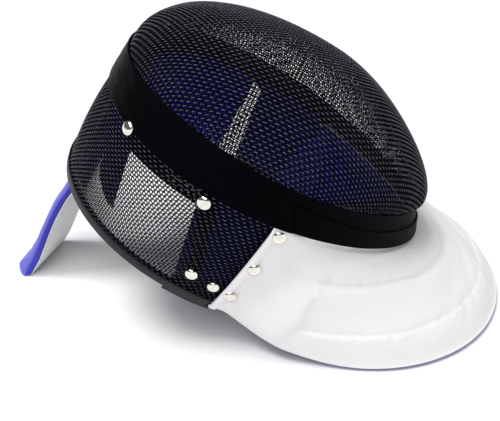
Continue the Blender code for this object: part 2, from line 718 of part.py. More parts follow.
def main():
    clear_scene()
    carrier = bpy.data.objects.new("mask", None)
    bpy.context.scene.collection.objects.link(carrier)
    carrier.location = (-LENGTH / 2, 0, 0)
    build_face_mesh(carrier)
    build_side_mesh(carrier)
    build_trim_band(carrier)
    build_chin_strip(carrier)
    build_rim_binding(carrier)
    for side, mirrored in (("right", False), ("left", True)):
        build_jaw_edging(carrier, side, mirrored)
        build_mesh_strip(carrier, side, mirrored)
        build_jaw_pad(carrier, side, mirrored)
    build_crown_pad(carrier)
    build_temple_flap(carrier)
    build_bib(carrier)
    build_bib_lining(carrier)
    build_tongue(carrier)
    build_tongue_face(carrier)
    build_rivets(carrier)


main()
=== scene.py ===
# Dresses the fencing mask that lies on its open back: woven wire, a black band, a bound rim, rivets,
# a quilted white bib over a blue lining, blue padding and a padded tongue. Metres and degrees.
# Degrees run round the mask: 0 at the chin, 180 at the crown, 270 on the wearer's right.
# Depth runs down its wall: -1 at the edge of the face, 0 at the band's lower edge, 1 at the rim.

import math
from functools import partial

import bpy
import numpy as np
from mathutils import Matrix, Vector


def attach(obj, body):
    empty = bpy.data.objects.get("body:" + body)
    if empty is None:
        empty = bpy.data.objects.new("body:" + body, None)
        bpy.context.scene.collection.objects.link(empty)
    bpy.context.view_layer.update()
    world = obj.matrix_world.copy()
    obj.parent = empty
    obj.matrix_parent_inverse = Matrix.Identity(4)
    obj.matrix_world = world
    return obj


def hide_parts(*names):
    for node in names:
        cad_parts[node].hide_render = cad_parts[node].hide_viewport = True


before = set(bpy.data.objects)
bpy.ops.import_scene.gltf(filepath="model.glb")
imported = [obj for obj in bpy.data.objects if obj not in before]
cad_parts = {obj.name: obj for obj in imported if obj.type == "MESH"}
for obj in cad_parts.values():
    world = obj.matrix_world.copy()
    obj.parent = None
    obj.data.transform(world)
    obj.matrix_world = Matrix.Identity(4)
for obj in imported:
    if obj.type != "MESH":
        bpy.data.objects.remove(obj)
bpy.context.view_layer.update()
print("frame loaded:", len(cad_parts), "solids")


class Shade:
    # one socket of a finish; sums, products and powers of it add Math nodes
    def __init__(self, tree, socket):
        self.tree = tree
        self.socket = socket

    def maths(self, operation, *values):
        return self.tree.node("ShaderNodeMath", {"operation": operation}, dict(enumerate(values)))

    def __add__(self, other):
        return self.maths("ADD", self, other)

    def __sub__(self, other):
        return self.maths("SUBTRACT", self, other)

    def __mul__(self, other):
        return self.maths("MULTIPLY", self, other)

    def __pow__(self, other):
        return self.maths("POWER", self, other)

    def __rsub__(self, other):
        return self.maths("SUBTRACT", other, self)

    __radd__ = __add__
    __rmul__ = __mul__

    def sine(self):
        return self.maths("SINE", self)

    def size(self):
        return self.maths("ABSOLUTE", self)

    def above(self, low, high):
        # 0 below low, 1 above high, smooth in between
        settings = {"interpolation_type": "SMOOTHSTEP"}
        return self.tree.node("ShaderNodeMapRange", settings, {0: self, 1: low, 2: high})


class Nodes:
    def __init__(self, tree):
        self.tree = tree

    def node(self, kind, settings=None, sockets=None, output=0):
        made = self.tree.nodes.new(kind)
        for key, value in (settings or {}).items():
            setattr(made, key, value)
        for key, value in (sockets or {}).items():
            self.feed(made.inputs[key], value)
        return Shade(self, made.outputs[output])

    def feed(self, socket, value):
        if isinstance(value, Shade):
            self.tree.links.new(value.socket, socket)
        elif hasattr(value, "__len__") and len(value) == 3 and socket.type == "RGBA":
            socket.default_value = (*value, 1)
        else:
            socket.default_value = value


class Finish(Nodes):
    def __init__(self, name, colour, roughness, constants):
        self.material = bpy.data.materials.new(name)
        self.material.use_nodes = True
        super().__init__(self.material.node_tree)
        self.shader = self.tree.nodes["Principled BSDF"]
        fixed = {"Base Color": colour, "Roughness": roughness, **constants}
        for socket, value in fixed.items():
            self.use(socket, value)
        self.material.diffuse_color = (*colour, 1)

    def use(self, socket, value):
        self.feed(self.shader.inputs[socket], value)

    def place(self):
        return self.node("ShaderNodeTexCoord", output="Object")

    def flat(self, part):
        # a piece's own flat coordinates in metres: 0 round it, 1 down it
        whole = self.node("ShaderNodeAttribute", {"attribute_name": "flat"}, output="Vector")
        return self.node("ShaderNodeSeparateXYZ", {}, {0: whole}, part)

    def mask(self, name):
        return self.node("ShaderNodeAttribute", {"attribute_name": name}, output="Fac")

    def noise(self, scale, detail=2, roughness=0.5):
        sockets = {"Vector": self.place(), "Scale": scale, "Detail": detail, "Roughness": roughness}
        return self.node("ShaderNodeTexNoise", {}, sockets)

    def grain(self, scale):
        return self.node("ShaderNodeTexVoronoi", {}, {"Vector": self.place(), "Scale": scale})

    def mix(self, factor, first, second):
        return self.node("ShaderNodeMix", {"data_type": "RGBA"}, {0: factor, 6: first, 7: second}, 2)

    def weave(self, pitch):
        # plain weave: threads that pass over and under each other, as a height from 0 to 1
        one, two = ((self.flat(part) * (math.pi / pitch)).sine() for part in (0, 1))
        onTop = (one * two).above(-0.15, 0.15)
        return one.size() * onTop + two.size() * (1 - onTop)

    def bump(self, height, distance, strength=1.0):
        sockets = {"Height": height, "Distance": distance, "Strength": strength}
        self.use("Normal", self.node("ShaderNodeBump", {}, sockets))


def wireEnamel():
    made = Finish("wireEnamel", (0.0014, 0.0014, 0.0030), 0.14, {"Specular IOR Level": 0.05})
    wear = made.noise(900, 3)
    # the tops of the crossings are painted lighter as a highlight; the wear noise only breaks that painted
    # highlight into patches
    paintedHighlight = made.mask("crest") ** 4 * (0.35 + 0.65 * wear.above(0.3, 0.7))
    made.use("Base Color", made.mix(paintedHighlight, (0.0010, 0.0010, 0.0026), (0.42, 0.43, 0.52)))
    made.use("Roughness", 0.08 + 0.12 * made.noise(260))
    made.bump(made.noise(2500), 0.00003, 0.4)
    return made.material


def bandLeather():
    made = Finish("bandLeather", (0.0010, 0.0011, 0.0018), 0.45, {"Specular IOR Level": 0.02})
    patch = made.noise(26, 4, 0.6)
    dark = made.mix(patch, (0.0004, 0.0005, 0.0012), (0.0011, 0.0012, 0.0022))
    worn = made.mask("edge") * made.noise(420).above(0.4, 0.75) * 0.4
    made.use("Base Color", made.mix(worn, dark, (0.010, 0.010, 0.013)))
    made.use("Roughness", 0.36 + 0.2 * patch)
    made.bump(made.grain(1400) + 1.5 * made.weave(0.00045), 0.00004, 0.5)
    return made.material


def rimLeather():
    made = Finish("rimLeather", (0.008, 0.009, 0.012), 0.42, {"Specular IOR Level": 0.2})
    base = made.mix(made.noise(60, 3), (0.005, 0.006, 0.008), (0.011, 0.012, 0.015))
    worn = made.mask("edge") * made.noise(700) * 0.6
    made.use("Base Color", made.mix(worn, base, (0.035, 0.037, 0.041)))
    made.use("Roughness", 0.34 + 0.2 * made.noise(180, 3))
    made.bump(made.grain(1700), 0.00007, 0.6)
    return made.material


def cotton(name, light, dark, pitch, roughness, sheen, seamDark=0.25, back=None):
    # woven cloth: threads, faint slubs and soft painted shade in the seams; back is the colour of the back
    # side, which on the tongue is painted shade
    constants = {"Specular IOR Level": 0.2, "Sheen Weight": sheen, "Sheen Roughness": 0.4}
    made = Finish(name, light, roughness, constants)
    weave = made.weave(pitch)
    slubs = made.noise(340, 3)
    tone = made.mix(made.noise(38, 4, 0.6), light, dark)
    tone = made.mix((1 - weave) * 0.25 + slubs.above(0.55, 0.8) * 0.12, tone, dark)
    tone = made.mix(made.mask("seam") * seamDark, tone, [0.62 * part for part in dark])
    if back:
        tone = made.mix(made.mask("back"), tone, back)
    made.use("Base Color", tone)
    made.use("Roughness", roughness - 0.1 + 0.2 * slubs)
    made.bump(weave + 0.5 * slubs, 0.00009, 0.8)
    return made.material


def rivetNickel():
    made = Finish("rivetNickel", (0.80, 0.79, 0.71), 0.16, {"Metallic": 1.0})
    patch = made.noise(500, 4, 0.6)
    made.use("Base Color", made.mix(patch.above(0.45, 0.75), (0.82, 0.81, 0.74), (0.66, 0.65, 0.57)))
    made.use("Roughness", 0.05 + 0.1 * made.noise(1500, 3))
    made.bump(made.noise(3000), 0.00002, 0.4)
    return made.material


def threadFinish(name, colour):
    made = Finish(name, colour, 0.7, {"Specular IOR Level": 0.3, "Sheen Weight": 0.2})
    twist = (made.flat(0) * 9000).sine()
    made.use("Base Color", made.mix(twist.above(-0.5, 1) * 0.4, colour, [0.5 * part for part in colour]))
    made.bump(twist, 0.00004, 0.6)
    return made.material


def paperFinish():
    made = Finish("paleFloor", (0.93, 0.93, 0.94), 0.9, {"Specular IOR Level": 0.1})
    made.bump(made.noise(120, 3), 0.0002, 0.1)
    return made.material


# the bib's back has the blue of its lining; the tongue's back half is painted darker, as shade on the side
# away from the light
bibBack, tongueShadedBack = (0.026, 0.028, 0.30), (0.050, 0.050, 0.55)
cottons = {  # name, light and dark colour, pitch of the threads, roughness, sheen, painted shade in seams, back colour
    "bib": ("bibCotton", (0.90, 0.875, 0.885), (0.85, 0.825, 0.835), 0.00042, 0.85, 0.1, 0.2, bibBack),
    # the lining's blue painted darker, as shade inside the mask, for the jaw pads and the temple flap
    "shadedLining": ("liningInShade", (0.005, 0.005, 0.17), (0.002, 0.002, 0.09), 0.0005, 0.8, 0.03),
    "lining": ("liningBlue", (0.006, 0.006, 0.34), (0.003, 0.003, 0.17), 0.0005, 0.8, 0.04),
    "tongue": ("tongueBlue", (0.21, 0.22, 0.80), (0.15, 0.16, 0.70), 0.0005, 0.75, 0.2, 0.25, tongueShadedBack),
    "tongueFace": ("tonguePale", (0.93, 0.93, 0.92), (0.84, 0.84, 0.83), 0.0006, 0.9, 0.2),
}
finishes = {"wire": wireEnamel(), "band": bandLeather(), "rim": rimLeather(), "rivet": rivetNickel()}
finishes["thread"] = threadFinish("blackThread", (0.02, 0.02, 0.023))
finishes.update({name: cotton(*ways) for name, ways in cottons.items()})
print("finishes made:", len(finishes))


ovals = {  # crown and chin as x from the tongue's tip and height, half width, squareness, taper
    "face": ((0.1534, 0.2037), (0.3485, 0.0676), 0.1024, (2.22, 1.58), 0),
    "band": ((0.1345, 0.1841), (0.3471, 0.0446), 0.1097, (2.0, 1.83), 0.11),
    "rim": ((0.0841, 0.1247), (0.2703, -0.0121), 0.1025, (2.01, 2.07), 0.02),
}
maskShape = {
    "tipToMiddle": 0.206,  # along X, from the tongue's tip to the frame's middle
    "sideBulge": 0.0025,
    "domeHeight": 0.0584,
    "domeTop": 0.569,  # share of the way from crown to chin
    "domeFullness": {"crown": 2.09, "side": 2.05, "chin": 1.37},
    "chinBulge": 0.0128,
    "columns": 60,  # where the ovals are measured; a smooth closed curve joins them
    "waves": 22,
}
meshThickness = 0.0017
bandThickness = 0.0015
gap, padGap = 0.0003, 0.0006


def unit(vectors):
    return vectors / np.maximum(np.linalg.norm(vectors, axis=-1, keepdims=True), 1e-12)


def smoothStep(value):
    value = np.clip(value, 0, 1)
    return value * value * (3 - 2 * value)


def ramp(value, start, width):
    # 0 up to start, 1 from start + width on
    return smoothStep((value - start) / width)


def ridge(distance, half):
    return 0.5 + 0.5 * np.cos(np.pi * np.clip(distance / half, -1, 1))


def roundedTo(distance, radius):
    return np.sqrt(1 - (1 - np.clip(distance / radius, 0, 1)) ** 2)


def runOf(line):
    # the length along a line up to each of its points
    return np.concatenate([[0], np.cumsum(np.linalg.norm(np.diff(line, axis=0), axis=1))])


def pointsAt(places, run, line):
    return np.stack([np.interp(places, run, line[:, k]) for k in range(3)], -1)


def ovalWaves(crown, chin, half, square, taper):
    turn = np.radians(np.arange(maskShape["columns"]) * 360 / maskShape["columns"])
    cosine, sine = np.cos(turn), np.sin(turn)
    square = np.where(cosine < 0, *square)
    along = (1 + np.sign(cosine) * np.abs(cosine) ** (2 / square)) / 2
    across = np.sign(sine) * np.abs(sine) ** (2 / square) * (1 - taper * cosine)
    crown, chin = (np.array([x - maskShape["tipToMiddle"], 0, z]) for x, z in (crown, chin))
    points = crown + (chin - crown) * along[:, None] + across[:, None] * np.array([0, half, 0])
    return np.fft.rfft(points, axis=0)[: maskShape["waves"]] / maskShape["columns"]


waves = {name: ovalWaves(*oval) for name, oval in ovals.items()}


def ovalPoint(name, degrees):
    turn = np.radians(np.asarray(degrees, float))
    swing = np.exp(1j * turn[..., None] * np.arange(maskShape["waves"]))
    swing[..., 1:] *= 2
    return (swing @ waves[name]).real


def planeAxes(name):
    # from crown to chin, and the way the face looks
    along = unit(ovalPoint(name, 0) - ovalPoint(name, 180))
    return along, np.array([-along[2], 0.0, along[0]])


bandMiddle = (ovalPoint("band", 180) + ovalPoint("band", 0)) / 2
bandFacing = planeAxes("band")[1]


def wallPoint(degrees, depth):
    degrees, depth = np.broadcast_arrays(np.asarray(degrees, float), np.asarray(depth, float))
    face, band, rim = (ovalPoint(name, degrees) for name in ("face", "band", "rim"))
    share = depth[..., None]
    point = np.where(share < 0, band + (face - band) * -share, band + (rim - band) * share)
    outward = band - bandMiddle
    outward = unit(outward - (outward @ bandFacing)[..., None] * bandFacing)
    below = np.clip(depth, 0, 1)
    return point + outward * (maskShape["sideBulge"] * 4 * below * (1 - below))[..., None]


def wallNormal(degrees, depth):
    turn, step = 0.05, 1e-3
    roundTheMask = wallPoint(degrees + turn, depth) - wallPoint(degrees - turn, depth)
    downTheWall = wallPoint(degrees, depth + step) - wallPoint(degrees, depth - step)
    return unit(np.cross(downTheWall, roundTheMask))


def wallSkin(degrees, depth, lift):
    # a point on the wall, moved off it by lift: outwards if positive
    degrees, depth = np.broadcast_arrays(np.asarray(degrees, float), np.asarray(depth, float))
    lift = np.broadcast_to(np.asarray(lift, float), degrees.shape)
    return wallPoint(degrees, depth) + wallNormal(degrees, depth) * lift[..., None]


def placed(name, data):
    thing = bpy.data.objects.new(name, data)
    bpy.context.scene.collection.objects.link(thing)
    return thing


def makePiece(name, points, faces, finish, nodes=(), flat=None, masks=None):
    mesh = bpy.data.meshes.new(name)
    mesh.from_pydata(np.asarray(points).tolist(), [], faces)
    mesh.materials.append(finishes[finish])
    mesh.shade_smooth()
    if flat is not None:
        mesh.attributes.new("flat", "FLOAT_VECTOR", "POINT").data.foreach_set("vector", np.ravel(flat))
    for maskName, values in (masks or {}).items():
        mesh.attributes.new(maskName, "FLOAT", "POINT").data.foreach_set("value", np.ravel(values))
    piece = placed(name, mesh)
    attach(piece, "root")
    if nodes:
        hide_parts(*nodes)
    return piece


def quadsOf(index):
    corners = (index[:-1, :-1], index[1:, :-1], index[1:, 1:], index[:-1, 1:])
    return np.stack(corners, -1).reshape(-1, 4)


def ringQuads(index):
    return quadsOf(np.concatenate([index, index[:, :1]], axis=1))


def facingOut(points, quads):
    a, b, c, d = (points[quads[:, k]] for k in range(4))
    volume = np.einsum("ij,ij->", a, np.cross(b, c)) + np.einsum("ij,ij->", a, np.cross(c, d))
    return quads if volume > 0 else quads[:, ::-1]


def flatOf(grid):
    # lengths round and down a grid of points
    down = np.zeros(grid.shape[:2])
    down[1:] = np.cumsum(np.linalg.norm(np.diff(grid, axis=0), axis=2), axis=0)
    across = np.zeros(grid.shape[:2])
    across[:, 1:] = np.cumsum(np.linalg.norm(np.diff(grid, axis=1), axis=2), axis=1)
    return np.stack([across, down, 0 * down], -1)


def gridNormals(grid, ring=False):
    if ring:
        wide = np.concatenate([grid[:, -1:], grid, grid[:, :1]], axis=1)
        return gridNormals(wide)[:, 1:-1]
    return unit(np.cross(np.gradient(grid, axis=0), np.gradient(grid, axis=1)))


def edgeDistance(flat, ring=False):
    # how far each point of a grid is from its free edges
    found = np.minimum(flat[..., 1], flat[-1:, :, 1] - flat[..., 1])
    if not ring:
        found = np.minimum(found, np.minimum(flat[..., 0], flat[:, -1:, 0] - flat[..., 0]))
    return found


def softShell(name, outer, inner, finish, node, masks, ring=False):
    # a closed body between two grids that meet along their edges
    rows, columns = outer.shape[:2]
    top = np.arange(rows * columns).reshape(rows, columns)
    inside = np.ones((rows, columns), bool)
    inside[[0, -1]] = False
    if not ring:
        inside[:, [0, -1]] = False
    bottom = top.copy()
    bottom[inside] = rows * columns + np.arange(inside.sum())
    outer = outer.copy()
    outer[~inside] = (outer[~inside] + inner[~inside]) / 2
    points = np.concatenate([outer.reshape(-1, 3), inner[inside]])
    points[:, 2] = np.maximum(points[:, 2], 0.0)
    join = ringQuads if ring else quadsOf
    quads = facingOut(points, np.concatenate([join(top), join(bottom)[:, ::-1]]))
    flat = flatOf(outer)
    both = {key: np.concatenate([np.ravel(value), value[inside]]) for key, value in masks.items()}
    back = np.repeat([0.0, 1.0], [rows * columns, inside.sum()])
    both["back"] = np.maximum(back, both.get("turned", 0))
    flat = np.concatenate([flat.reshape(-1, 3), flat[inside]])
    return makePiece(name, points, quads.tolist(), finish, [node], flat, both)


def pinched(outer, inner, full):
    # both sides of a sheet drawn to its middle where full is 0
    middle = (outer + inner) / 2
    return middle + (outer - middle) * full[..., None], middle + (inner - middle) * full[..., None]


def leatherShell(name, middle, thickness, radius, node, ring=False):
    # a closed band of leather about a grid of points, with rounded free edges
    normals = gridNormals(middle, ring)
    near = edgeDistance(flatOf(middle), ring)
    half = (thickness * roundedTo(near, radius) / 2)[..., None]
    masks = {"edge": 1 - roundedTo(near, radius * 1.6)}
    softShell(name, middle + normals * half, middle - normals * half, "band", node, masks, ring)


def closeAtEnds(count, edge):
    # shares from 0 to 1: even in the middle, closer inside the edge at both ends
    start = edge * (1 - np.cos(np.radians((0, 22, 44, 66))))
    return np.concatenate([start, np.linspace(edge, 1 - edge, count), 1 - start[::-1]])


def softNoise(u, v, cell, seed):
    # smooth random heights from -1 to 1
    table = np.random.default_rng(seed).uniform(-1, 1, (64, 64))
    i, j = np.floor(u / cell).astype(int), np.floor(v / cell).astype(int)
    x, y = smoothStep(u / cell - i), smoothStep(v / cell - j)
    rows = [table[(i + k) % 64, j % 64] * (1 - y) + table[(i + k) % 64, (j + 1) % 64] * y for k in (0, 1)]
    return rows[0] * (1 - x) + rows[1] * x


def tubes(paths, radius, sides, crests=None):
    # closed round wires along lines of points, each with the way that is up from it
    turns = np.arange(sides) * 2 * math.pi / sides
    cosine, sine = np.cos(turns)[None, :, None], np.sin(turns)[None, :, None]
    points, faces, flat = [], [], []
    start = 0
    for line, upward in paths:
        tangent = unit(np.gradient(line, axis=0))
        side = unit(np.cross(tangent, upward))
        up = np.cross(side, tangent)
        points.append((line[:, None] + radius * (cosine * up[:, None] + sine * side[:, None])).reshape(-1, 3))
        index = start + np.arange(len(line) * sides).reshape(len(line), sides)
        faces.extend(ringQuads(index)[:, ::-1].tolist())
        faces += [index[0][::-1].tolist(), index[-1].tolist()]
        length = np.repeat(runOf(line), sides)
        flat.append(np.stack([length, np.tile(turns, len(line)) * radius, 0 * length], -1))
        start += len(line) * sides
    masks = None
    if crests:
        # crest: the tops of the over-crossings, which carry the painted highlight
        onTop = np.clip(np.cos(turns), 0, 1)
        masks = {"crest": np.concatenate([np.outer(np.clip(crest, 0, 1), onTop).ravel() for crest in crests])}
    return {"points": np.concatenate(points), "faces": faces, "flat": np.concatenate(flat), "masks": masks}


def filleted(corners, radius, steps=4):
    # a closed outline with each corner rounded
    corners = np.array(corners, float)
    shares = np.linspace(0, 1, steps + 1)[:, None]
    outline = []
    for i, corner in enumerate(corners):
        before, after = corners[i - 1] - corner, corners[(i + 1) % len(corners)] - corner
        reach = min(radius, 0.48 * np.linalg.norm(before), 0.48 * np.linalg.norm(after))
        start, end = corner + unit(before) * reach, corner + unit(after) * reach
        outline.append(start * (1 - shares) ** 2 + corner * 2 * shares * (1 - shares) + end * shares**2)
    return np.concatenate(outline)


clothWays = {"frames": 12, "mass": 0.05, "pressure": 4.0, "stiffness": 12.0, "bending": 0.6, "heldEdge": 0.6}


def coordinatesOf(mesh):
    values = np.empty(len(mesh.vertices) * 3, np.float32)
    mesh.vertices.foreach_get("co", values)
    return values.reshape(-1, 3).astype(float)


def maskOf(mesh, name):
    values = np.empty(len(mesh.vertices), np.float32)
    mesh.attributes[name].data.foreach_get("value", values)
    return values


def plumped(piece, freeSide, limit):
    # the padding swells by a short cloth simulation: its free side moves, the rest is held
    mesh = piece.data
    base, side, edge = coordinatesOf(mesh), maskOf(mesh, "back"), maskOf(mesh, "edge")
    held = np.flatnonzero((np.abs(side - freeSide) > 0.5) | (edge > clothWays["heldEdge"]))
    piece.vertex_groups.new(name="held").add(held.tolist(), 1.0, "REPLACE")
    cloth = piece.modifiers.new("Padding", "CLOTH")
    ways = cloth.settings
    ways.vertex_group_mass = "held"
    ways.use_pressure = True
    ways.uniform_pressure_force = clothWays["pressure"]
    ways.effector_weights.gravity = 0.0
    ways.mass = clothWays["mass"]
    ways.tension_stiffness = ways.compression_stiffness = clothWays["stiffness"]
    ways.bending_stiffness = clothWays["bending"]
    cloth.collision_settings.use_collision = False
    cloth.point_cache.frame_end = clothWays["frames"]
    for frameNumber in range(1, clothWays["frames"] + 1):
        bpy.context.scene.frame_set(frameNumber)
    seen = piece.evaluated_get(bpy.context.evaluated_depsgraph_get())
    moved = coordinatesOf(seen.data) - base
    piece.modifiers.remove(cloth)
    piece.vertex_groups.clear()
    bpy.context.scene.frame_set(1)
    length = np.linalg.norm(moved, axis=1, keepdims=True)
    made = base + moved * np.minimum(1, limit / np.maximum(length, 1e-9))
    made[:, 2] = np.where(base[:, 2] > 0, np.maximum(made[:, 2], 0.0), base[:, 2])
    mesh.vertices.foreach_set("co", made.astype(np.float32).ravel())
    mesh.update()
    print(piece.name, "plumped by", round(float(length.mean()) * 1000, 2), "mm on average")


wireSizes = {
    "radius": 0.00047,
    "pitch": 0.00238,
    "sides": 4,
    "underBand": -0.72,  # depth where the face mesh ends
    "reach": 90,  # wires each way from the dome's top
    "sideTop": -0.3,  # depth where the side mesh starts
    "sideBottom": 0.985,
    "sideEnd": 285.3,
    "sideSlant": 5.0,
    "crests": (0.3, 1.0),  # how much painted highlight shows on the crests: wires down the mask, wires round it
    # painted highlight on the face mesh's crests: wires along it, wires across it
    "domeCrests": (1.0, 0.3),
}


def wovenWires(surface, inside, wires, crossings, across, crestShare=wireSizes["crests"]):
    # wires that pass over and under their neighbours in turn, flat over each crossing
    paths, crests = [], []
    run = (crossings[:, None] + np.array([-0.25, 0.25])).ravel()
    for wire in wires:
        over = np.repeat((-1.0) ** (crossings + wire), 2) * (1 if across else -1)
        held = np.full_like(run, wire)
        i, j = (held, run) if across else (run, held)
        keep = inside(i, j)
        if keep.sum() < 4:
            continue
        points, normals = surface(i[keep], j[keep])
        lift = over[keep] * wireSizes["radius"] - meshThickness / 2
        paths.append((points + normals * lift[:, None], normals))
        crests.append(over[keep] * crestShare[across])
    return paths, crests


def wirePiece(name, paths, crests, nodes=(), radius=wireSizes["radius"]):
    made = tubes(paths, radius, wireSizes["sides"], crests)
    makePiece(name, finish="wire", nodes=nodes, **made)
    print(name, len(paths), "wires", len(made["faces"]) * 2, "triangles")


domeSteps = {"turn": 0.5, "rises": 120, "below": 12, "belowTo": -0.5, "length": 0.0005, "tilt": 0.0008}


def domeRows(degrees):
    # from the dome's top down each meridian and on under the band
    edge = ovalPoint("face", degrees)
    along, facing = planeAxes("face")
    crown, chin = ovalPoint("face", 180), ovalPoint("face", 0)
    foot = crown + (chin - crown) * maskShape["domeTop"]
    cosine = np.cos(np.radians(degrees))
    full = maskShape["domeFullness"]
    end = np.where(cosine < 0, full["crown"], full["chin"])
    fullness = full["side"] + (end - full["side"]) * cosine**2
    rows = []
    for rise in np.radians(np.linspace(90, 0, domeSteps["rises"] + 1)):
        inwards = max(math.cos(rise), 0) ** (2 / fullness)
        upwards = math.sin(rise) ** (2 / fullness)
        swell = maskShape["chinBulge"] * math.sqrt(max(math.sin(2 * rise), 0)) * np.clip(cosine, 0, 1) ** 2
        row = foot + (edge - foot) * inwards[:, None] + facing * (maskShape["domeHeight"] * upwards)[:, None]
        rows.append(row + along * swell[:, None])
    for depth in np.linspace(-1, domeSteps["belowTo"], domeSteps["below"] + 1)[1:]:
        rows.append(wallPoint(degrees, depth))
    out = edge - foot
    turns = np.degrees(np.unwrap(np.arctan2(out[:, 1], out @ along)))
    return np.array(rows), turns - turns[0]


def domeGrid():
    # the dome at even lengths down each meridian
    degrees = np.arange(0, 360.1, domeSteps["turn"])
    rows, turns = domeRows(degrees)
    lengths = flatOf(rows)[..., 1]
    even = np.arange(0, lengths.max() + domeSteps["length"], domeSteps["length"])
    grid = np.array([pointsAt(even, lengths[:, c], rows[:, c]) for c in range(len(degrees))])
    below = (wireSizes["underBand"] + 1) / (domeSteps["belowTo"] + 1) * domeSteps["below"]
    last = domeSteps["rises"] + below
    ends = np.array([np.interp(last, range(len(rows)), lengths[:, c]) for c in range(len(degrees))])
    return {"grid": grid, "turns": turns, "ends": ends}


dome = domeGrid()


def domePoint(along, across):
    turn = np.degrees(np.arctan2(across, along)) % 360
    column = np.interp(turn, dome["turns"], np.arange(len(dome["turns"])))
    row = np.hypot(along, across) / domeSteps["length"]
    grid = dome["grid"]
    c = np.clip(np.floor(column).astype(int), 0, grid.shape[0] - 2)
    r = np.clip(np.floor(row).astype(int), 0, grid.shape[1] - 2)
    u, v = (column - c)[:, None], np.clip(row - r, 0, 1)[:, None]
    near = grid[c, r] * (1 - v) + grid[c, r + 1] * v
    far = grid[c + 1, r] * (1 - v) + grid[c + 1, r + 1] * v
    return near * (1 - u) + far * u


def domeSurface(i, j):
    step = domeSteps["tilt"]
    along, across = i * wireSizes["pitch"], j * wireSizes["pitch"]
    alongStep = domePoint(along + step, across) - domePoint(along - step, across)
    acrossStep = domePoint(along, across + step) - domePoint(along, across - step)
    return domePoint(along, across), unit(np.cross(alongStep, acrossStep))


def domeInside(i, j):
    turn = np.degrees(np.arctan2(j, i)) % 360
    return np.hypot(i, j) * wireSizes["pitch"] < np.interp(turn, dome["turns"], dome["ends"])


def buildFaceMesh():
    reach = np.arange(-wireSizes["reach"], wireSizes["reach"] + 1)
    for name, across, nodes in (("faceMeshAcross", True, ["face_mesh"]), ("faceMeshAlong", False, [])):
        made = wovenWires(domeSurface, domeInside, reach, reach, across, wireSizes["domeCrests"])
        wirePiece(name, *made, nodes)


def evenDegrees(name, start, end, pitch):
    # columns at even lengths along an oval
    fine = np.linspace(start, end, 2001)
    run = runOf(ovalPoint(name, fine))
    return np.interp(np.linspace(0, run[-1], int(run[-1] / pitch) + 1), run, fine)


sideLast = wireSizes["sideEnd"] + wireSizes["sideSlant"]
sideColumns = evenDegrees("band", 360 - sideLast, sideLast, wireSizes["pitch"])
sideStep = wireSizes["pitch"] / np.linalg.norm(wallPoint(270, 1) - wallPoint(270, 0))


def sidePlace(i, j):
    return np.interp(j, np.arange(len(sideColumns)), sideColumns), wireSizes["sideBottom"] - i * sideStep


def wallSurface(place, under, i, j):
    # the wall where place says, or a sheet that lies under it
    degrees, depth = place(i, j)
    normals = wallNormal(degrees, depth)
    return wallPoint(degrees, depth) - normals * under, normals


def sideInside(i, j):
    degrees, depth = sidePlace(i, j)
    end = wireSizes["sideEnd"] + wireSizes["sideSlant"] * np.clip(depth, 0, 1)
    bottom = wireSizes["sideBottom"] + 0.005
    return (np.abs(degrees - 180) < end - 180) & (depth < bottom) & (depth > wireSizes["sideTop"])


def buildSideMesh():
    rows = np.arange(0, int((1 - wireSizes["sideTop"]) / sideStep) + 1)
    columns = np.arange(len(sideColumns))
    surface = partial(wallSurface, sidePlace, 0)
    wirePiece("sideMeshRound", *wovenWires(surface, sideInside, rows, columns, True), ["side_mesh"])
    wirePiece("sideMeshDown", *wovenWires(surface, sideInside, columns, rows, False))


stripSizes = {"start": 256.9, "slant": 20.1, "width": 4.0, "wires": 5, "top": -0.3, "bottom": 0.85}
hemSizes = {  # the face mesh's lower edge, seen through the side mesh below the band
    "start": 231.0,
    "clear": 0.5,
    "top": -0.3,
    "bottom": 0.15,
    "closeness": 0.62,
    "radius": 0.00058,
    "crests": (0.1, 0.3),
}


def stripEdge(depth):
    return stripSizes["start"] + stripSizes["slant"] * depth


def stripPlace(turn, i, j):
    depth = stripSizes["top"] + i * sideStep
    degrees = stripEdge(depth) + j * stripSizes["width"] / (stripSizes["wires"] - 1)
    return 180 + turn * (degrees - 180), depth


hemStep = sideStep * hemSizes["closeness"]
hemEnd = stripEdge(hemSizes["bottom"]) - hemSizes["clear"]
hemColumns = evenDegrees("band", hemSizes["start"], hemEnd, wireSizes["pitch"] * hemSizes["closeness"])


def hemPlace(i, j):
    return np.interp(j, np.arange(len(hemColumns)), hemColumns), hemSizes["bottom"] - i * hemStep


def hemInside(i, j):
    degrees, depth = hemPlace(i, j)
    return degrees < stripEdge(depth) - hemSizes["clear"]


def everywhere(i, j):
    return np.ones(len(i), bool)


def innerMesh(name, place, inside, rows, columns, nodes, radius, crestShare):
    # both ways of a mesh just inside the side mesh
    surface = partial(wallSurface, place, meshThickness + padGap)
    paths, crests = wovenWires(surface, inside, rows, columns, True, crestShare)
    more, moreCrests = wovenWires(surface, inside, columns, rows, False, crestShare)
    wirePiece(name, paths + more, crests + moreCrests, nodes, radius)


def buildInnerMeshes():
    rows = np.arange(0, int((stripSizes["bottom"] - stripSizes["top"]) / sideStep) + 1)
    columns = np.arange(stripSizes["wires"])
    own = wireSizes["radius"], wireSizes["crests"]
    for side, turn in (("right", 1), ("left", -1)):
        nodes = [f"mesh_strip_{side}"]
        innerMesh(f"meshStrip_{side}", partial(stripPlace, turn), everywhere, rows, columns, nodes, *own)
    rows = np.arange(0, int((hemSizes["bottom"] - hemSizes["top"]) / hemStep) + 1)
    own = hemSizes["radius"], hemSizes["crests"]
    innerMesh("meshHem_right", hemPlace, hemInside, rows, np.arange(len(hemColumns)), [], *own)


buildFaceMesh()
buildSideMesh()
buildInnerMeshes()


bandSizes = {
    "columns": 500,
    "rows": 22,
    "radius": 0.0007,
    "chinDrop": 0.09,
    "waviness": 0.00025,
    "waves": ((1, 40, 5.625, 3), (0.5, 60, 2.8125, 4)),  # strength, stretch, cell, seed
}


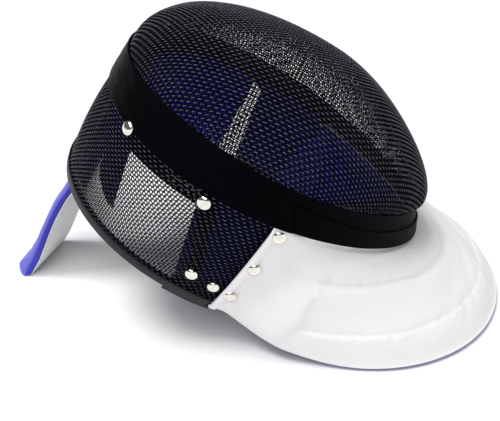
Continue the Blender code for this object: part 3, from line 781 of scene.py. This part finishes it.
def buildBand():
    degrees = np.arange(bandSizes["columns"]) * 360 / bandSizes["columns"]
    top = -1 + bandSizes["chinDrop"] * np.clip(np.cos(np.radians(degrees)), 0, 1) ** 2
    down = closeAtEnds(bandSizes["rows"], 0.03)[:, None]
    depth = top - top * down
    degrees = degrees + 0 * down
    uneven = sum(
        strength * softNoise(degrees, depth * stretch, cell, seed)
        for strength, stretch, cell, seed in bandSizes["waves"]
    )
    lift = gap + bandThickness / 2 + bandSizes["waviness"] * uneven * np.sin(np.pi * down) ** 0.5
    middle = wallSkin(degrees, depth, lift)
    leatherShell("band", middle, bandThickness, bandSizes["radius"], "trim_band", True)


stripOnChin = {
    "start": 285.5,
    "leather": 0.0012,
    "radius": 0.0006,
    "top": -0.66,
    "bottom": -0.01,
    "endTop": 0.18,  # how much lower the top is at the ends, and over how many degrees
    "endReach": 30,
    "waviness": 0.0002,
    "columns": 200,
    "rows": 14,
}


def buildChinStrip():
    sizes = stripOnChin
    start = sizes["start"]
    degrees = start + (720 - 2 * start) * closeAtEnds(sizes["columns"], 0.006)[None, :]
    fromEnd = np.minimum(degrees - start, 720 - start - degrees)
    top = sizes["top"] + sizes["endTop"] * smoothStep(fromEnd / sizes["endReach"])
    down = closeAtEnds(sizes["rows"], 0.05)[:, None]
    depth = top + (sizes["bottom"] - top) * down
    degrees = degrees + 0 * down
    uneven = sizes["waviness"] * softNoise(degrees * 0.6, depth * 30, 6, 11)
    lift = 2 * gap + bandThickness + sizes["leather"] / 2 + uneven * np.sin(np.pi * down)
    middle = wallSkin(degrees, depth, lift)
    leatherShell("chinStrip", middle, sizes["leather"], sizes["radius"], "chin_strip")


rimSizes = {
    "end": 285.6,
    "leather": 0.0012,
    "leg": 0.006,
    "turn": 0.0015,
    "round": 0.0009,
    "columns": 421,
    "wear": 0.0012,
}
edgingSizes = {
    "start": 270.5,
    "end": 287.6,
    "thickness": 0.0015,
    "leg": 0.0125,
    "foot": 0.0035,
    "toe": 0.0005,
    "round": 0.0005,
    "columns": 44,
}


def rimFrame(degrees):
    # the wall's lower edge, the way out from it and the way on past it
    edge = wallPoint(degrees, 1.0)
    return edge, wallNormal(degrees, 1.0), unit(edge - wallPoint(degrees, 0.9))


def alongRim(name, degrees, profile, node):
    edge, out, past = rimFrame(degrees)
    grid = edge[:, None] + out[:, None] * profile[None, :, :1] + past[:, None] * profile[None, :, 1:]
    index = np.arange(grid.shape[0] * len(profile)).reshape(-1, len(profile))
    points = grid.reshape(-1, 3)
    faces = facingOut(points, ringQuads(index)).tolist() + [index[0].tolist(), index[-1][::-1].tolist()]
    reach = profile[:, 1]
    worn = np.clip((reach - reach.max() + rimSizes["wear"]) / rimSizes["wear"], 0, 1)
    masks = {"edge": np.broadcast_to(worn, index.shape)}
    makePiece(name, points, faces, "rim", [node], flatOf(grid).reshape(-1, 3), masks)


def buildRim():
    leather, leg, turn = rimSizes["leather"], rimSizes["leg"], rimSizes["turn"]
    outer, inner = gap + leather, -meshThickness - gap
    under = turn - leather
    corners = [(outer, -leg), (outer, turn), (inner - leather, turn), (inner - leather, -leg)]
    corners += [(inner, -leg), (inner, under), (gap, under), (gap, -leg)]
    degrees = np.linspace(360 - rimSizes["end"], rimSizes["end"], rimSizes["columns"])
    alongRim("rimBinding", degrees, filleted(corners, rimSizes["round"]), "rim_binding")


def buildJawEdging():
    sizes = edgingSizes
    leg, outer = sizes["leg"], -meshThickness - 2 * gap - rimSizes["leather"]
    inner = outer - sizes["thickness"]
    under, toe = rimSizes["turn"] + gap, gap + sizes["toe"]
    foot = under + sizes["foot"]
    corners = [(outer, -leg), (outer, under), (toe, under), (toe, foot), (inner, foot), (inner, -leg)]
    profile = filleted(corners, sizes["round"])
    degrees = np.linspace(sizes["start"], sizes["end"], sizes["columns"])
    for side, turned in (("right", degrees), ("left", 360 - degrees)):
        alongRim(f"jawEdging_{side}", turned, profile, f"jaw_edging_{side}")


rimThread = {
    "stitch": 0.0026,
    "gap": 0.0012,
    "radius": 0.00022,
    "sides": 5,
    "arch": (2.2, 1.4),  # how far a stitch rises, and how deep its ends dip, in radii
    "fromEnd": 0.6,
    "fromEdge": 0.0014,
}


def stitches(name, line, upward):
    # short threads that dip into the leather at both ends, set along a line
    run = runOf(line)
    stitch, radius = rimThread["stitch"], rimThread["radius"]
    shares = np.linspace(0, 1, 6)
    high, deep = rimThread["arch"]
    rise = radius * (high * np.sqrt(np.sin(np.pi * shares).clip(0)) - deep)
    paths = []
    for start in np.linspace(0, run[-1] - stitch, int(run[-1] / (stitch + rimThread["gap"]))):
        at = start + stitch * shares
        up = unit(pointsAt(at, run, upward))
        paths.append((pointsAt(at, run, line) + up * rise[:, None], up))
    makePiece(name, finish="thread", **tubes(paths, radius, rimThread["sides"]))


def buildRimStitches():
    end = rimSizes["end"] - rimThread["fromEnd"]
    edge, out, past = rimFrame(np.linspace(360 - end, end, 900))
    line = edge - past * (rimSizes["leg"] - rimThread["fromEdge"])
    stitches("rimStitchesOuter", line + out * (gap + rimSizes["leather"]), out)
    stitches("rimStitchesInner", line - out * (meshThickness + gap + rimSizes["leather"]), -out)


buildBand()
buildChinStrip()
buildRim()
buildJawEdging()
buildRimStitches()
print("band and trims built")


bibSizes = {  # places are shares of the way round the bib, or from the band to its edge
    "cloth": 0.003,
    "hem": 0.0013,
    "hemWidth": 0.0145,
    "hemCrease": 0.0009,
    "front": 279.8,
    "frontSlant": 6.5,
    "onMesh": (0.012, 0.984),  # depth where it starts on the side mesh, and how far it goes
    "loose": (0.028, 0.08),  # where it leaves the mesh
    "behind": (0.028, 0.028),  # where its top goes behind the band, and rises under it
    "raised": (0.056, 0.029),
    "lift": 0.0016,
    "puff": 0.008,
    "tuck": 0.0045,
    "top": 0.0015,
    "topDepth": -0.22,
    "topRows": (0.004, 0.008),  # depth of the top row at the jaws, and of the last row of the top
    "fullFrom": 0.07,  # where the cloth has its full thickness
    "hemFrom": 0.02,  # where the hem starts to show
    "hemFade": (0.0015, 0.002),
    "creaseAt": 0.001,
    "creaseHalf": 0.0022,
    "sway": (0.009, 0.031, 20),  # of the welts: how far, cell, seed
    "weltRise": 0.0023,
    "welts": (0.33, 0.71),
    "weltShares": (1.35, 1.0),
    "weltHalf": 0.042,
    "weltSharp": 0.034,  # how wide the step on the inner side is, and how far it fades beyond
    "weltGentle": 0.24,
    "weltStart": 0.112,
    "startSharp": 0.009,
    "startLean": 0.04,
    "startGentle": 0.05,
    "startAbove": (0.03, 0.06),  # how far above the upper welt it starts
    "startEnd": (0.86, 0.12),
    "puckers": (0.0005, 1.6, 0.5, 0.006, 21),  # rise, stretch round and down, cell, seed
    "wrinkles": (0.001, 0.9, 0.35, 0.017, 22),  # rise, lean, stretch down, cell, seed
    "seam": (0.016, 0.02),  # how far above a welt its shade lies, and half its width
    "liftFrom": (0.96, 0.04),
    "turned": (0.9945, 0.003),  # where the lower edge shows its back's colour
    "round": 0.0016,
    "worn": 0.003,
    "close": 0.004,  # share at both ends where columns lie closer
    "lastRows": (0.993, 0.997, 0.9992, 1),
    "columns": 232,
    "rows": 78,
}
bibEdge = (  # x from the tongue's tip, half width, height
    (0.204, 0.1002, 0.0340),
    (0.214, 0.1030, 0.0260),
    (0.228, 0.1048, 0.0185),
    (0.241, 0.1062, 0.0130),
    (0.254, 0.1076, 0.0090),
    (0.270, 0.1094, 0.0045),
    (0.287, 0.1112, 0.0012),
    (0.304, 0.1120, 0.0000),
)
bibTip = {"reach": 0.10555, "square": 2.1}
liningSizes = {
    "start": 0.105,
    "top": 0.07,
    "thickness": 0.0024,
    "round": 0.0014,
    "fall": 0.0012,
    "pinch": 0.25,  # how much thinner it is at the welts
    "uneven": (0.0002, 0.012, 31),  # rise, cell, seed
    "columns": 126,
    "rows": 40,
}


def evenLengths(points, shares):
    run = runOf(points)
    return pointsAt(shares, run / run[-1], points)


def smoothed(line):
    # each point is moved to the middle of its neighbours, and the ends stay
    kernel = np.exp(-np.linspace(-2, 2, 25) ** 2)
    kernel /= kernel.sum()
    before, after = 2 * line[0] - line[12:0:-1], 2 * line[-1] - line[-2:-14:-1]
    padded = np.concatenate([before, line, after])
    return np.stack([np.convolve(padded[:, k], kernel, "valid") for k in range(3)], -1)


def bibEdgeLine():
    rows = np.array(bibEdge)
    side = pointsAt(np.linspace(0, len(rows) - 1, 60), range(len(rows)), rows)
    turn = np.radians(np.linspace(90, 0, 60))[1:]
    tipX = rows[-1, 0] + bibTip["reach"] * np.cos(turn) ** (2 / bibTip["square"])
    tipY = rows[-1, 1] * np.sin(turn) ** (2 / bibTip["square"])
    right = np.concatenate([side, np.stack([tipX, tipY, 0 * tipX], -1)]) * np.array([1, -1, 1])
    line = np.concatenate([right, right[-2::-1] * np.array([1, -1, 1])])
    line[:, 0] -= maskShape["tipToMiddle"]
    return smoothed(evenLengths(line, np.linspace(0, 1, 401)))


def bibDegrees(shares):
    fine = np.linspace(bibSizes["front"], 720 - bibSizes["front"], 641)
    run = runOf(ovalPoint("band", fine))
    return np.interp(shares, run / run[-1], fine)


def bibInner(shares, downs):
    # the bib's inner surface: on the side mesh at the jaws, free and puffed out round the chin
    shares, downs = np.meshgrid(shares, downs)
    degrees = bibDegrees(shares)
    side = np.where(shares < 0.5, 1, -1)
    start, reach = bibSizes["onMesh"]
    onMesh = wallSkin(degrees + side * bibSizes["frontSlant"] * downs, start + reach * downs, padGap)
    edge = evenLengths(bibEdgeLine(), shares.ravel()).reshape(*shares.shape, 3)
    top = ovalPoint("band", degrees)
    facing = unit(np.cross(edge - top, np.gradient(top, axis=1)))
    free = (top - facing * bibSizes["tuck"]) * (1 - downs[..., None]) + edge * downs[..., None]
    free += facing * (bibSizes["puff"] * np.sin(np.pi * downs**1.25))[..., None]
    loose = ramp(np.minimum(shares, 1 - shares), *bibSizes["loose"])[..., None]
    return onMesh * (1 - loose) + free * loose


def bibTop(shares, lift):
    # the rows of its top, from under the band down to where the loose cloth starts
    nearEnd = np.minimum(shares, 1 - shares)
    lifts = padGap + lift - ramp(nearEnd, *bibSizes["behind"]) * (padGap + bibSizes["top"])
    edge, last = bibSizes["topRows"]
    top = edge + (bibSizes["topDepth"] - edge) * ramp(nearEnd, *bibSizes["raised"])
    depths = [top + (last - top) * share for share in (0, 0.33, 0.66, 1)]
    return np.stack([wallSkin(bibDegrees(shares), depth, lifts) for depth in depths])


def terrace(beyond, sharp, gentle):
    # a raised edge: steep on its inner side, fading out beyond it
    return smoothStep(beyond / sharp + 0.5) * (1 - smoothStep((beyond - sharp / 2) / gentle))


def bibWelts(down, inFront):
    # two quilted steps round the chin
    sizes = bibSizes
    sharp, gentle = sizes["weltSharp"], sizes["weltGentle"]
    welts = [
        terrace(down - centre, sharp, gentle) * inFront * rise
        for centre, rise in zip(sizes["welts"], sizes["weltShares"])
    ]
    return np.maximum(*welts)


def bibStart(nearEnd, down):
    # the step across them at each side
    sizes = bibSizes
    start = sizes["weltStart"] + sizes["startLean"] * (0.5 - down)
    step = terrace(start - nearEnd, sizes["startSharp"], sizes["startGentle"])
    above, fade = sizes["startAbove"]
    return step * ramp(down, sizes["welts"][0] - above, fade) * (1 - ramp(down, *sizes["startEnd"]))


def bibThickness(flat, nearEnd, down, inFront, swayed):
    sizes = bibSizes
    thickness = sizes["cloth"] + (sizes["top"] - sizes["cloth"]) * (1 - smoothStep(down / sizes["fullFrom"]))
    belowTop = smoothStep(down / sizes["hemFrom"])
    before, fade = sizes["hemFade"]
    hem = 1 - ramp(nearEnd, sizes["hemWidth"] - before, fade)
    crease = ridge(nearEnd - sizes["hemWidth"] - sizes["creaseAt"], sizes["creaseHalf"]) * belowTop
    thickness += sizes["hem"] * hem * belowTop - sizes["hemCrease"] * crease
    welts = np.maximum(bibWelts(swayed, inFront), bibStart(nearEnd, down))
    beside = sum(ridge(down - centre, 3 * sizes["weltHalf"]) for centre in sizes["welts"]) * inFront
    across, along = flat[..., 0], flat[..., 1]
    rise, turned, stretch, cell, seed = sizes["puckers"]
    puckers = rise * (softNoise(across * turned, along * stretch, cell, seed) * beside)
    rise, lean, stretch, cell, seed = sizes["wrinkles"]
    wrinkles = rise * (softNoise(across + along * lean, along * stretch, cell, seed) * inFront)
    return thickness + sizes["weltRise"] * welts + puckers + wrinkles * np.sin(np.pi * down)


def buildBib():
    sizes = bibSizes
    shares = closeAtEnds(sizes["columns"], sizes["close"])
    downs = np.concatenate([np.linspace(0, 1, sizes["rows"])[:-1], sizes["lastRows"]])
    inner = bibInner(shares, downs)
    share, down = np.meshgrid(shares, downs)
    nearEnd = np.minimum(share, 1 - share)
    inFront = ramp(nearEnd, sizes["weltStart"] - 0.004, 0.008)
    flat = flatOf(inner)
    sway, cell, seed = sizes["sway"]
    swayed = down + sway * softNoise(flat[..., 0], 0 * down, cell, seed)
    thickness = bibThickness(flat, nearEnd, down, inFront, swayed)
    outer = inner + gridNormals(inner) * thickness[..., None]
    heights = inner[-1, :, 2] + sizes["lift"]
    lifted = np.zeros_like(inner)
    lifted[..., 2] = sizes["lift"] * ramp(down, *sizes["liftFrom"])
    inner, outer = inner + lifted, outer + lifted
    outer[-1, :, 2] = inner[-1, :, 2] = heights
    outer = np.concatenate([bibTop(shares, sizes["top"]), outer[1:]])
    inner = np.concatenate([bibTop(shares, 0), inner[1:]])
    near = edgeDistance(flatOf((outer + inner) / 2))
    outer, inner = pinched(outer, inner, roundedTo(near, sizes["round"]))
    above, half = sizes["seam"]
    seam = sum(ridge(swayed + above - centre, half) for centre in sizes["welts"]) * inFront
    topRows = np.zeros((3, len(shares)))
    masks = {
        "seam": np.concatenate([topRows, seam]),
        "edge": 1 - roundedTo(near, sizes["worn"]),
        "turned": np.concatenate([topRows, ramp(down, *sizes["turned"])]),
    }
    return softShell("bibQuilt", outer, inner, "bib", "bib", masks)


def buildLining():
    sizes = liningSizes
    shares = closeAtEnds(sizes["columns"], bibSizes["close"]) * (1 - 2 * sizes["start"]) + sizes["start"]
    downs = sizes["top"] + (1 - sizes["top"]) * closeAtEnds(sizes["rows"], 0.01)
    grid = bibInner(shares, downs)
    normals = gridNormals(grid)
    flat = flatOf(grid)
    down = downs[:, None] + 0 * flat[..., 0]
    welt = sum(ridge(down - centre, bibSizes["weltHalf"]) for centre in bibSizes["welts"])
    rise, cell, seed = sizes["uneven"]
    uneven = rise * softNoise(flat[..., 0], flat[..., 1], cell, seed)
    thickness = sizes["thickness"] * (1 - sizes["pinch"] * welt) + uneven
    full = roundedTo(edgeDistance(flat), sizes["round"])
    drop = gap + sizes["fall"] * (1 - full)
    outer = grid - normals * drop[..., None]
    inner = grid - normals * (drop + thickness * full)[..., None]
    outer[-1, :, 2] = inner[-1, :, 2] = grid[-1, :, 2]
    masks = {"seam": welt, "edge": 1 - full}
    return softShell("bibLining", outer, inner, "lining", "bib_lining", masks)


bib = buildBib()
lining = buildLining()
print("bib built:", len(bib.data.polygons) * 2, "triangles")


padSizes = {
    "crown": 0.007,
    "jaw": 0.0083,
    "flap": 0.0028,
    "radius": 0.0022,
    "slope": 0.02,  # how far in from its edges a pad reaches its full thickness
    "edgeShare": 0.55,
    "uneven": (0.06, 0.011),  # share of the thickness, cell
    "seam": 0.008,
    "worn": 0.002,
}
crownPadSizes = {
    "start": 223.6,
    "end": 111,
    "endSlant": -11,
    "top": -0.35,
    "low": 0.60,  # depth of its lower edge, and how much further down it goes beside the tongue
    "lowSides": 0.28,
    "lowFrom": (16, 14),  # degrees from the crown, and how many it takes
    "offTongue": (20, 16),
    "columns": (110, 0.012),  # number, and the share at both ends where they lie closer
}
jawPadSizes = {
    "start": 256.3,
    "startSlant": 15.5,
    "end": 286.0,
    "endSlant": 5.0,
    "topReach": 3.4,  # how much further it goes under the band
    "topFade": (0.1, 0.35),
    "offStrip": (0.4, 0.8),  # degrees past the mesh strip where it comes up to the wall
    "top": -0.35,
    "height": 1.215,
    "columns": (40, 0.03),
}
flapRows = (  # depth, start, end
    (-0.30, 224.7, 230.0),
    (0.13, 224.7, 232.5),
    (0.32, 224.7, 235.3),
    (0.48, 225.6, 237.6),
    (0.58, 228.2, 238.7),
    (0.66, 232.8, 239.6),
    (0.71, 237.2, 240.4),
)
tongueSeat = (  # depth, lift, thickness, half width
    (0.88, -0.0086, 0.0066, 0.0300),
    (0.70, -0.0064, 0.0062, 0.0296),
    (0.50, -0.0054, 0.0058, 0.0290),
    (0.28, -0.0050, 0.0055, 0.0284),
    (0.06, -0.0048, 0.0052, 0.0276),
)
tongueFaceCloth = 0.0011
besideWall = -meshThickness - padGap


def wallPad(name, degrees, depths, lift, thickness, node, finish="shadedLining"):
    # a padded sheet against the inside of the wall; by default in the lining's blue painted darker as the
    # shade inside the mask
    flat = flatOf(wallPoint(degrees, depths))
    near = edgeDistance(flat)
    rounded = roundedTo(near, padSizes["radius"])
    crown = padSizes["edgeShare"] + (1 - padSizes["edgeShare"]) * smoothStep(near / padSizes["slope"])
    uneven, cell = padSizes["uneven"]
    swell = 1 + uneven * softNoise(flat[..., 0], flat[..., 1], cell, len(name))
    top = lift - 0.5 * thickness * (1 - rounded) * crown
    outer = wallSkin(degrees, depths, top)
    inner = wallSkin(degrees, depths, top - thickness * crown * swell * rounded)
    seam, worn = 1 - smoothStep(near / padSizes["seam"]), 1 - roundedTo(near, padSizes["worn"])
    return softShell(name, outer, inner, finish, node, {"seam": seam, "edge": worn})


def buildCrownPad(down):
    sizes = crownPadSizes
    start, top = sizes["start"], sizes["top"]
    end = sizes["end"] + sizes["endSlant"] * down
    degrees = start + (end - start) * closeAtEnds(*sizes["columns"])[None, :]
    fromCrown = np.abs(degrees - 180)
    low = sizes["low"] + sizes["lowSides"] * ramp(fromCrown, *sizes["lowFrom"])
    depths = top + (low - top) * down
    seat = np.array(tongueSeat)[::-1]
    headSide = seat[:, 1] - seat[:, 2] / 2 - tongueFaceCloth - 2 * padGap
    overTongue = np.interp(depths, seat[:, 0], headSide)
    lift = overTongue + (besideWall - overTongue) * ramp(fromCrown, *sizes["offTongue"])
    return wallPad("crownPad", degrees, depths, lift, padSizes["crown"], "crown_pad", "lining")


def buildFlap(down):
    rows = np.array(flapRows)
    depths = rows[0, 0] + (rows[-1, 0] - rows[0, 0]) * down
    start, end = (np.interp(depths, rows[:, 0], rows[:, k]) for k in (1, 2))
    degrees = start + (end - start) * closeAtEnds(16, 0.08)[None, :]
    return wallPad("templeFlap", degrees, depths + 0 * degrees, besideWall, padSizes["flap"], "temple_flap")


def buildJawPad(down, side, turn):
    sizes = jawPadSizes
    depths = sizes["top"] + sizes["height"] * down
    held = np.clip(depths, stripSizes["top"], 1)
    start = sizes["start"] + sizes["startSlant"] * held
    end = sizes["end"] + sizes["endSlant"] * np.clip(depths, 0, 1)
    end = end + sizes["topReach"] * (1 - ramp(depths, *sizes["topFade"]))
    degrees = start + (end - start) * closeAtEnds(*sizes["columns"])[None, :]
    past, fade = sizes["offStrip"]
    pastStrip = ramp(degrees, stripEdge(held) + stripSizes["width"] + past, fade)
    lift = besideWall * (2 - pastStrip)
    degrees = 180 + turn * (degrees - 180)
    full = padSizes["jaw"] + lift
    return wallPad(f"jawPad_{side}", degrees, depths + 0 * degrees, lift, full, f"jaw_pad_{side}")


padRows = closeAtEnds(26, 0.03)[:, None]
pads = [buildCrownPad(padRows), buildFlap(padRows)]
pads += [buildJawPad(padRows, side, turn) for side, turn in (("right", 1), ("left", -1))]


tongueFree = (  # x from the tip, height, thickness, half width, bow
    (0.00375, 0.0000, 0.0075, 0.0300, 0.0000),
    (0.0085, 0.0090, 0.0105, 0.0310, 0.0000),
    (0.0185, 0.0205, 0.0100, 0.0312, 0.0000),
    (0.0295, 0.0350, 0.0085, 0.0312, 0.0000),
    (0.0410, 0.0510, 0.0074, 0.0312, 0.0000),
    (0.0525, 0.0665, 0.0070, 0.0312, 0.0003),
    (0.0640, 0.0810, 0.0070, 0.0312, 0.0010),
    (0.0760, 0.0945, 0.0070, 0.0312, 0.0022),
    (0.0880, 0.1105, 0.0069, 0.0308, 0.0036),
)
tongueSizes = {
    "round": 0.0036,
    "seam": 0.006,
    "uneven": (0.05, 0.009, 41),  # share of the thickness, cell, seed
    "columns": (36, 0.05),  # number, and the share at both ends where they lie closer
    "faceShare": 0.92,  # of the tongue's width
    "faceRound": 0.0008,
    "faceSeam": 0.005,
    "faceColumns": (30, 0.03),
    "steps": 7,
    "tipBulge": 0.55,
    "tipAt": 0.0075,
    "tipReach": 0.021,
}


def tongueSheet(sides, share, off=0.0, rows=None):
    # a sheet along the tongue: share of its thickness from the middle, towards the head, and off it
    free = np.array(tongueFree)
    centres = np.stack([free[:, 0] - maskShape["tipToMiddle"], 0 * free[:, 0], free[:, 1]], -1)
    run = unit(np.gradient(centres, axis=0))
    headSide = np.stack([run[:, 2], 0 * run[:, 0], -run[:, 0]], -1)
    headSide[0] = (1, 0, 0)
    lines = []
    for row, centre, facing in zip(free, centres, headSide):
        middle = centre + facing * (share * row[2] + off)
        lines.append(middle + np.outer(sides * row[3], (0, 1, 0)) + np.outer(row[4] * sides**2, facing))
    for depth, lift, thickness, half in tongueSeat:
        degrees = 180 - np.degrees(sides * half / ovals["rim"][2])
        lines.append(wallSkin(degrees, depth, lift - (share * thickness + off)))
    return throughRows(np.array(lines)[:rows], tongueSizes["steps"])


def throughRows(lines, steps):
    # a smooth run through the rows, with steps between each pair
    before = np.concatenate([2 * lines[:1] - lines[1:2], lines, 2 * lines[-1:] - lines[-2:-1]])
    made = []
    for k in range(len(lines) - 1):
        a, b, c, d = before[k : k + 4]
        first, second, third = c - a, 2 * a - 5 * b + 4 * c - d, 3 * b - a - 3 * c + d
        made += [0.5 * (2 * b + first * t + second * t**2 + third * t**3) for t in np.arange(steps) / steps]
    made.append(lines[-1])
    return np.array(made)


def buildTongue():
    sizes = tongueSizes
    sides = 2 * closeAtEnds(*sizes["columns"]) - 1
    outer, inner = tongueSheet(sides, -0.5), tongueSheet(sides, 0.5)
    middle, half = (outer + inner) / 2, (outer - inner) / 2
    flat = flatOf(middle)
    near = edgeDistance(flat)
    rounded = roundedTo(near, sizes["round"])
    full = rounded[..., None]
    bulge = 1 + sizes["tipBulge"] * ridge(flat[..., 1] - sizes["tipAt"], sizes["tipReach"])[..., None]
    uneven, cell, seed = sizes["uneven"]
    dimples = 1 + uneven * softNoise(flat[..., 0], flat[..., 1], cell, seed)[..., None]
    masks = {"seam": 1 - smoothStep(near / sizes["seam"]), "edge": 1 - rounded}
    outer, inner = middle + half * bulge * full * dimples, middle - half * full
    return softShell("tonguePad", outer, inner, "tongue", "tongue", masks)


def buildTongueFace():
    sizes = tongueSizes
    sides = sizes["faceShare"] * (2 * closeAtEnds(*sizes["faceColumns"]) - 1)
    near, far = (tongueSheet(sides, 0.5, off, -1) for off in (padGap, padGap + tongueFaceCloth))
    distance = edgeDistance(flatOf((near + far) / 2))
    full = roundedTo(distance, sizes["faceRound"])
    masks = {"seam": 1 - smoothStep(distance / sizes["faceSeam"]), "edge": 1 - full}
    return softShell("tongueFace", *pinched(far, near, full), "tongueFace", "tongue_face", masks)


tongue = buildTongue()
tongueFace = buildTongueFace()
padSwell, bibSwell = 0.0015, 0.0006  # how far a point may move in the simulation
plumped(tongue, 0, padSwell)
for pad in pads:
    plumped(pad, 1, padSwell)
plumped(bib, 0, bibSwell)
print("pads and tongue built")


rivetSizes = {"radius": 0.0045, "height": 0.0024, "sides": 40, "rings": 12, "foot": 0.0004}
rivetFoot = [(0.86, 0.0), (0.955, 0.0001), (0.99, 0.0002)]  # share of the radius, height
rivetSeats = {"mesh": gap, "band": 2 * gap + bandThickness, "hem": padGap + gap + bibSizes["cloth"] + 0.0007}
rivetPlaces = (  # name, degrees, depth, what it sits on
    ("temple", 229.1, 0.0, "band"),
    ("cheek", 260.0, 0.085, "mesh"),
    ("rim", 273.4, 0.74, "mesh"),
    ("jaw", 281.8, 0.77, "mesh"),
    ("hem_low", 287.1, 0.75, "hem"),
    ("hem_middle", 284.9, 0.39, "hem"),
    ("hem_high", 282.4, 0.042, "hem"),
)


def rivetHead():
    radius, height, foot = rivetSizes["radius"], rivetSizes["height"], rivetSizes["foot"]
    shares = np.sin(np.radians(np.linspace(90, 0, rivetSizes["rings"] + 1)))[:-1]
    cap = [(share, foot + (height - foot) * (1 - share**2.6) ** 0.62) for share in shares]
    profile = rivetFoot + cap
    turns = np.arange(rivetSizes["sides"]) * 2 * math.pi / rivetSizes["sides"]
    reach = [(radius * share, z) for share, z in profile]
    rings = [[(far * math.cos(t), far * math.sin(t), z) for t in turns] for far, z in reach]
    points = np.concatenate([np.array(rings).reshape(-1, 3), [[0, 0, height]]])
    top = len(points) - 1
    index = np.arange(top).reshape(len(profile), -1)
    last = index[-1].tolist()
    fan = [[last[k], last[(k + 1) % len(last)], top] for k in range(len(last))]
    return points, ringQuads(index)[:, ::-1].tolist() + fan + [index[0][::-1].tolist()]


def buildRivets():
    points, faces = rivetHead()
    for place, degrees, depth, seat in rivetPlaces:
        for side, turn in (("right", degrees), ("left", 360 - degrees)):
            origin, up = wallSkin(turn, depth, rivetSeats[seat]), wallNormal(turn, depth)
            spin = np.array(Vector(up).to_track_quat("Z", "Y").to_matrix())
            node = f"rivet_{place}_{side}"
            makePiece(f"rivetHead_{place}_{side}", points @ spin.T + origin, faces, "rivet", [node])


buildRivets()
print("rivets built")


floorSizes = {"radius": 6.0, "corners": 96}
skyGlow = {"sides": 1.15, "overhead": 0.12, "fade": (0.16, 0.32)}
lamps = (  # name, strength, spread, tilt forwards and to the side
    ("overhead", 2.1, 24, (4, -16)),
    ("front", 1.25, 46, (30, 4)),
)
cameraPlace = {"at": (0.0931, -0.3440, 0.2474), "turn": (61.37, 5.21, 10.54), "lens": 34.56}


def buildFloor():
    turns = np.arange(floorSizes["corners"]) * 2 * math.pi / floorSizes["corners"]
    points = [(floorSizes["radius"] * math.cos(t), floorSizes["radius"] * math.sin(t), 0) for t in turns]
    mesh = bpy.data.meshes.new("floor")
    mesh.from_pydata(points, [], [list(range(len(points)))])
    mesh.materials.append(paperFinish())
    floor = placed("floor", mesh)


def buildLamps():
    for name, strength, spread, tilt in lamps:
        sun = bpy.data.lights.new(name, "SUN")
        sun.energy = strength
        sun.angle = math.radians(spread)
        lamp = placed(name, sun)
        lamp.rotation_euler = (math.radians(tilt[0]), math.radians(tilt[1]), 0)


def buildSky():
    # bright all round and darker straight above, so that the rivets have a dark cap
    world = bpy.data.worlds.new("studio")
    world.use_nodes = True
    bpy.context.scene.world = world
    sky = Nodes(world.node_tree)
    height = sky.node("ShaderNodeSeparateXYZ", {}, {0: sky.node("ShaderNodeTexCoord", output="Generated")}, 2)
    low, high = skyGlow["fade"]
    sockets = {0: height, 1: low, 2: high, 3: skyGlow["sides"], 4: skyGlow["overhead"]}
    glow = sky.node("ShaderNodeMapRange", {"interpolation_type": "SMOOTHSTEP"}, sockets)
    background = world.node_tree.nodes["Background"]
    sky.feed(background.inputs["Strength"], glow)
    background.inputs["Color"].default_value = (1, 1, 1, 1)


def buildCamera():
    camera = placed("camera", bpy.data.cameras.new("camera"))
    camera.data.lens = cameraPlace["lens"]
    camera.data.sensor_width = 36
    camera.location = cameraPlace["at"]
    camera.rotation_euler = [math.radians(turn) for turn in cameraPlace["turn"]]
    camera.data.clip_start = 0.01
    bpy.context.scene.camera = camera


buildFloor()
buildLamps()
buildSky()
buildCamera()
bpy.context.scene.view_settings.view_transform = "Standard"
print("floor, light and camera placed")
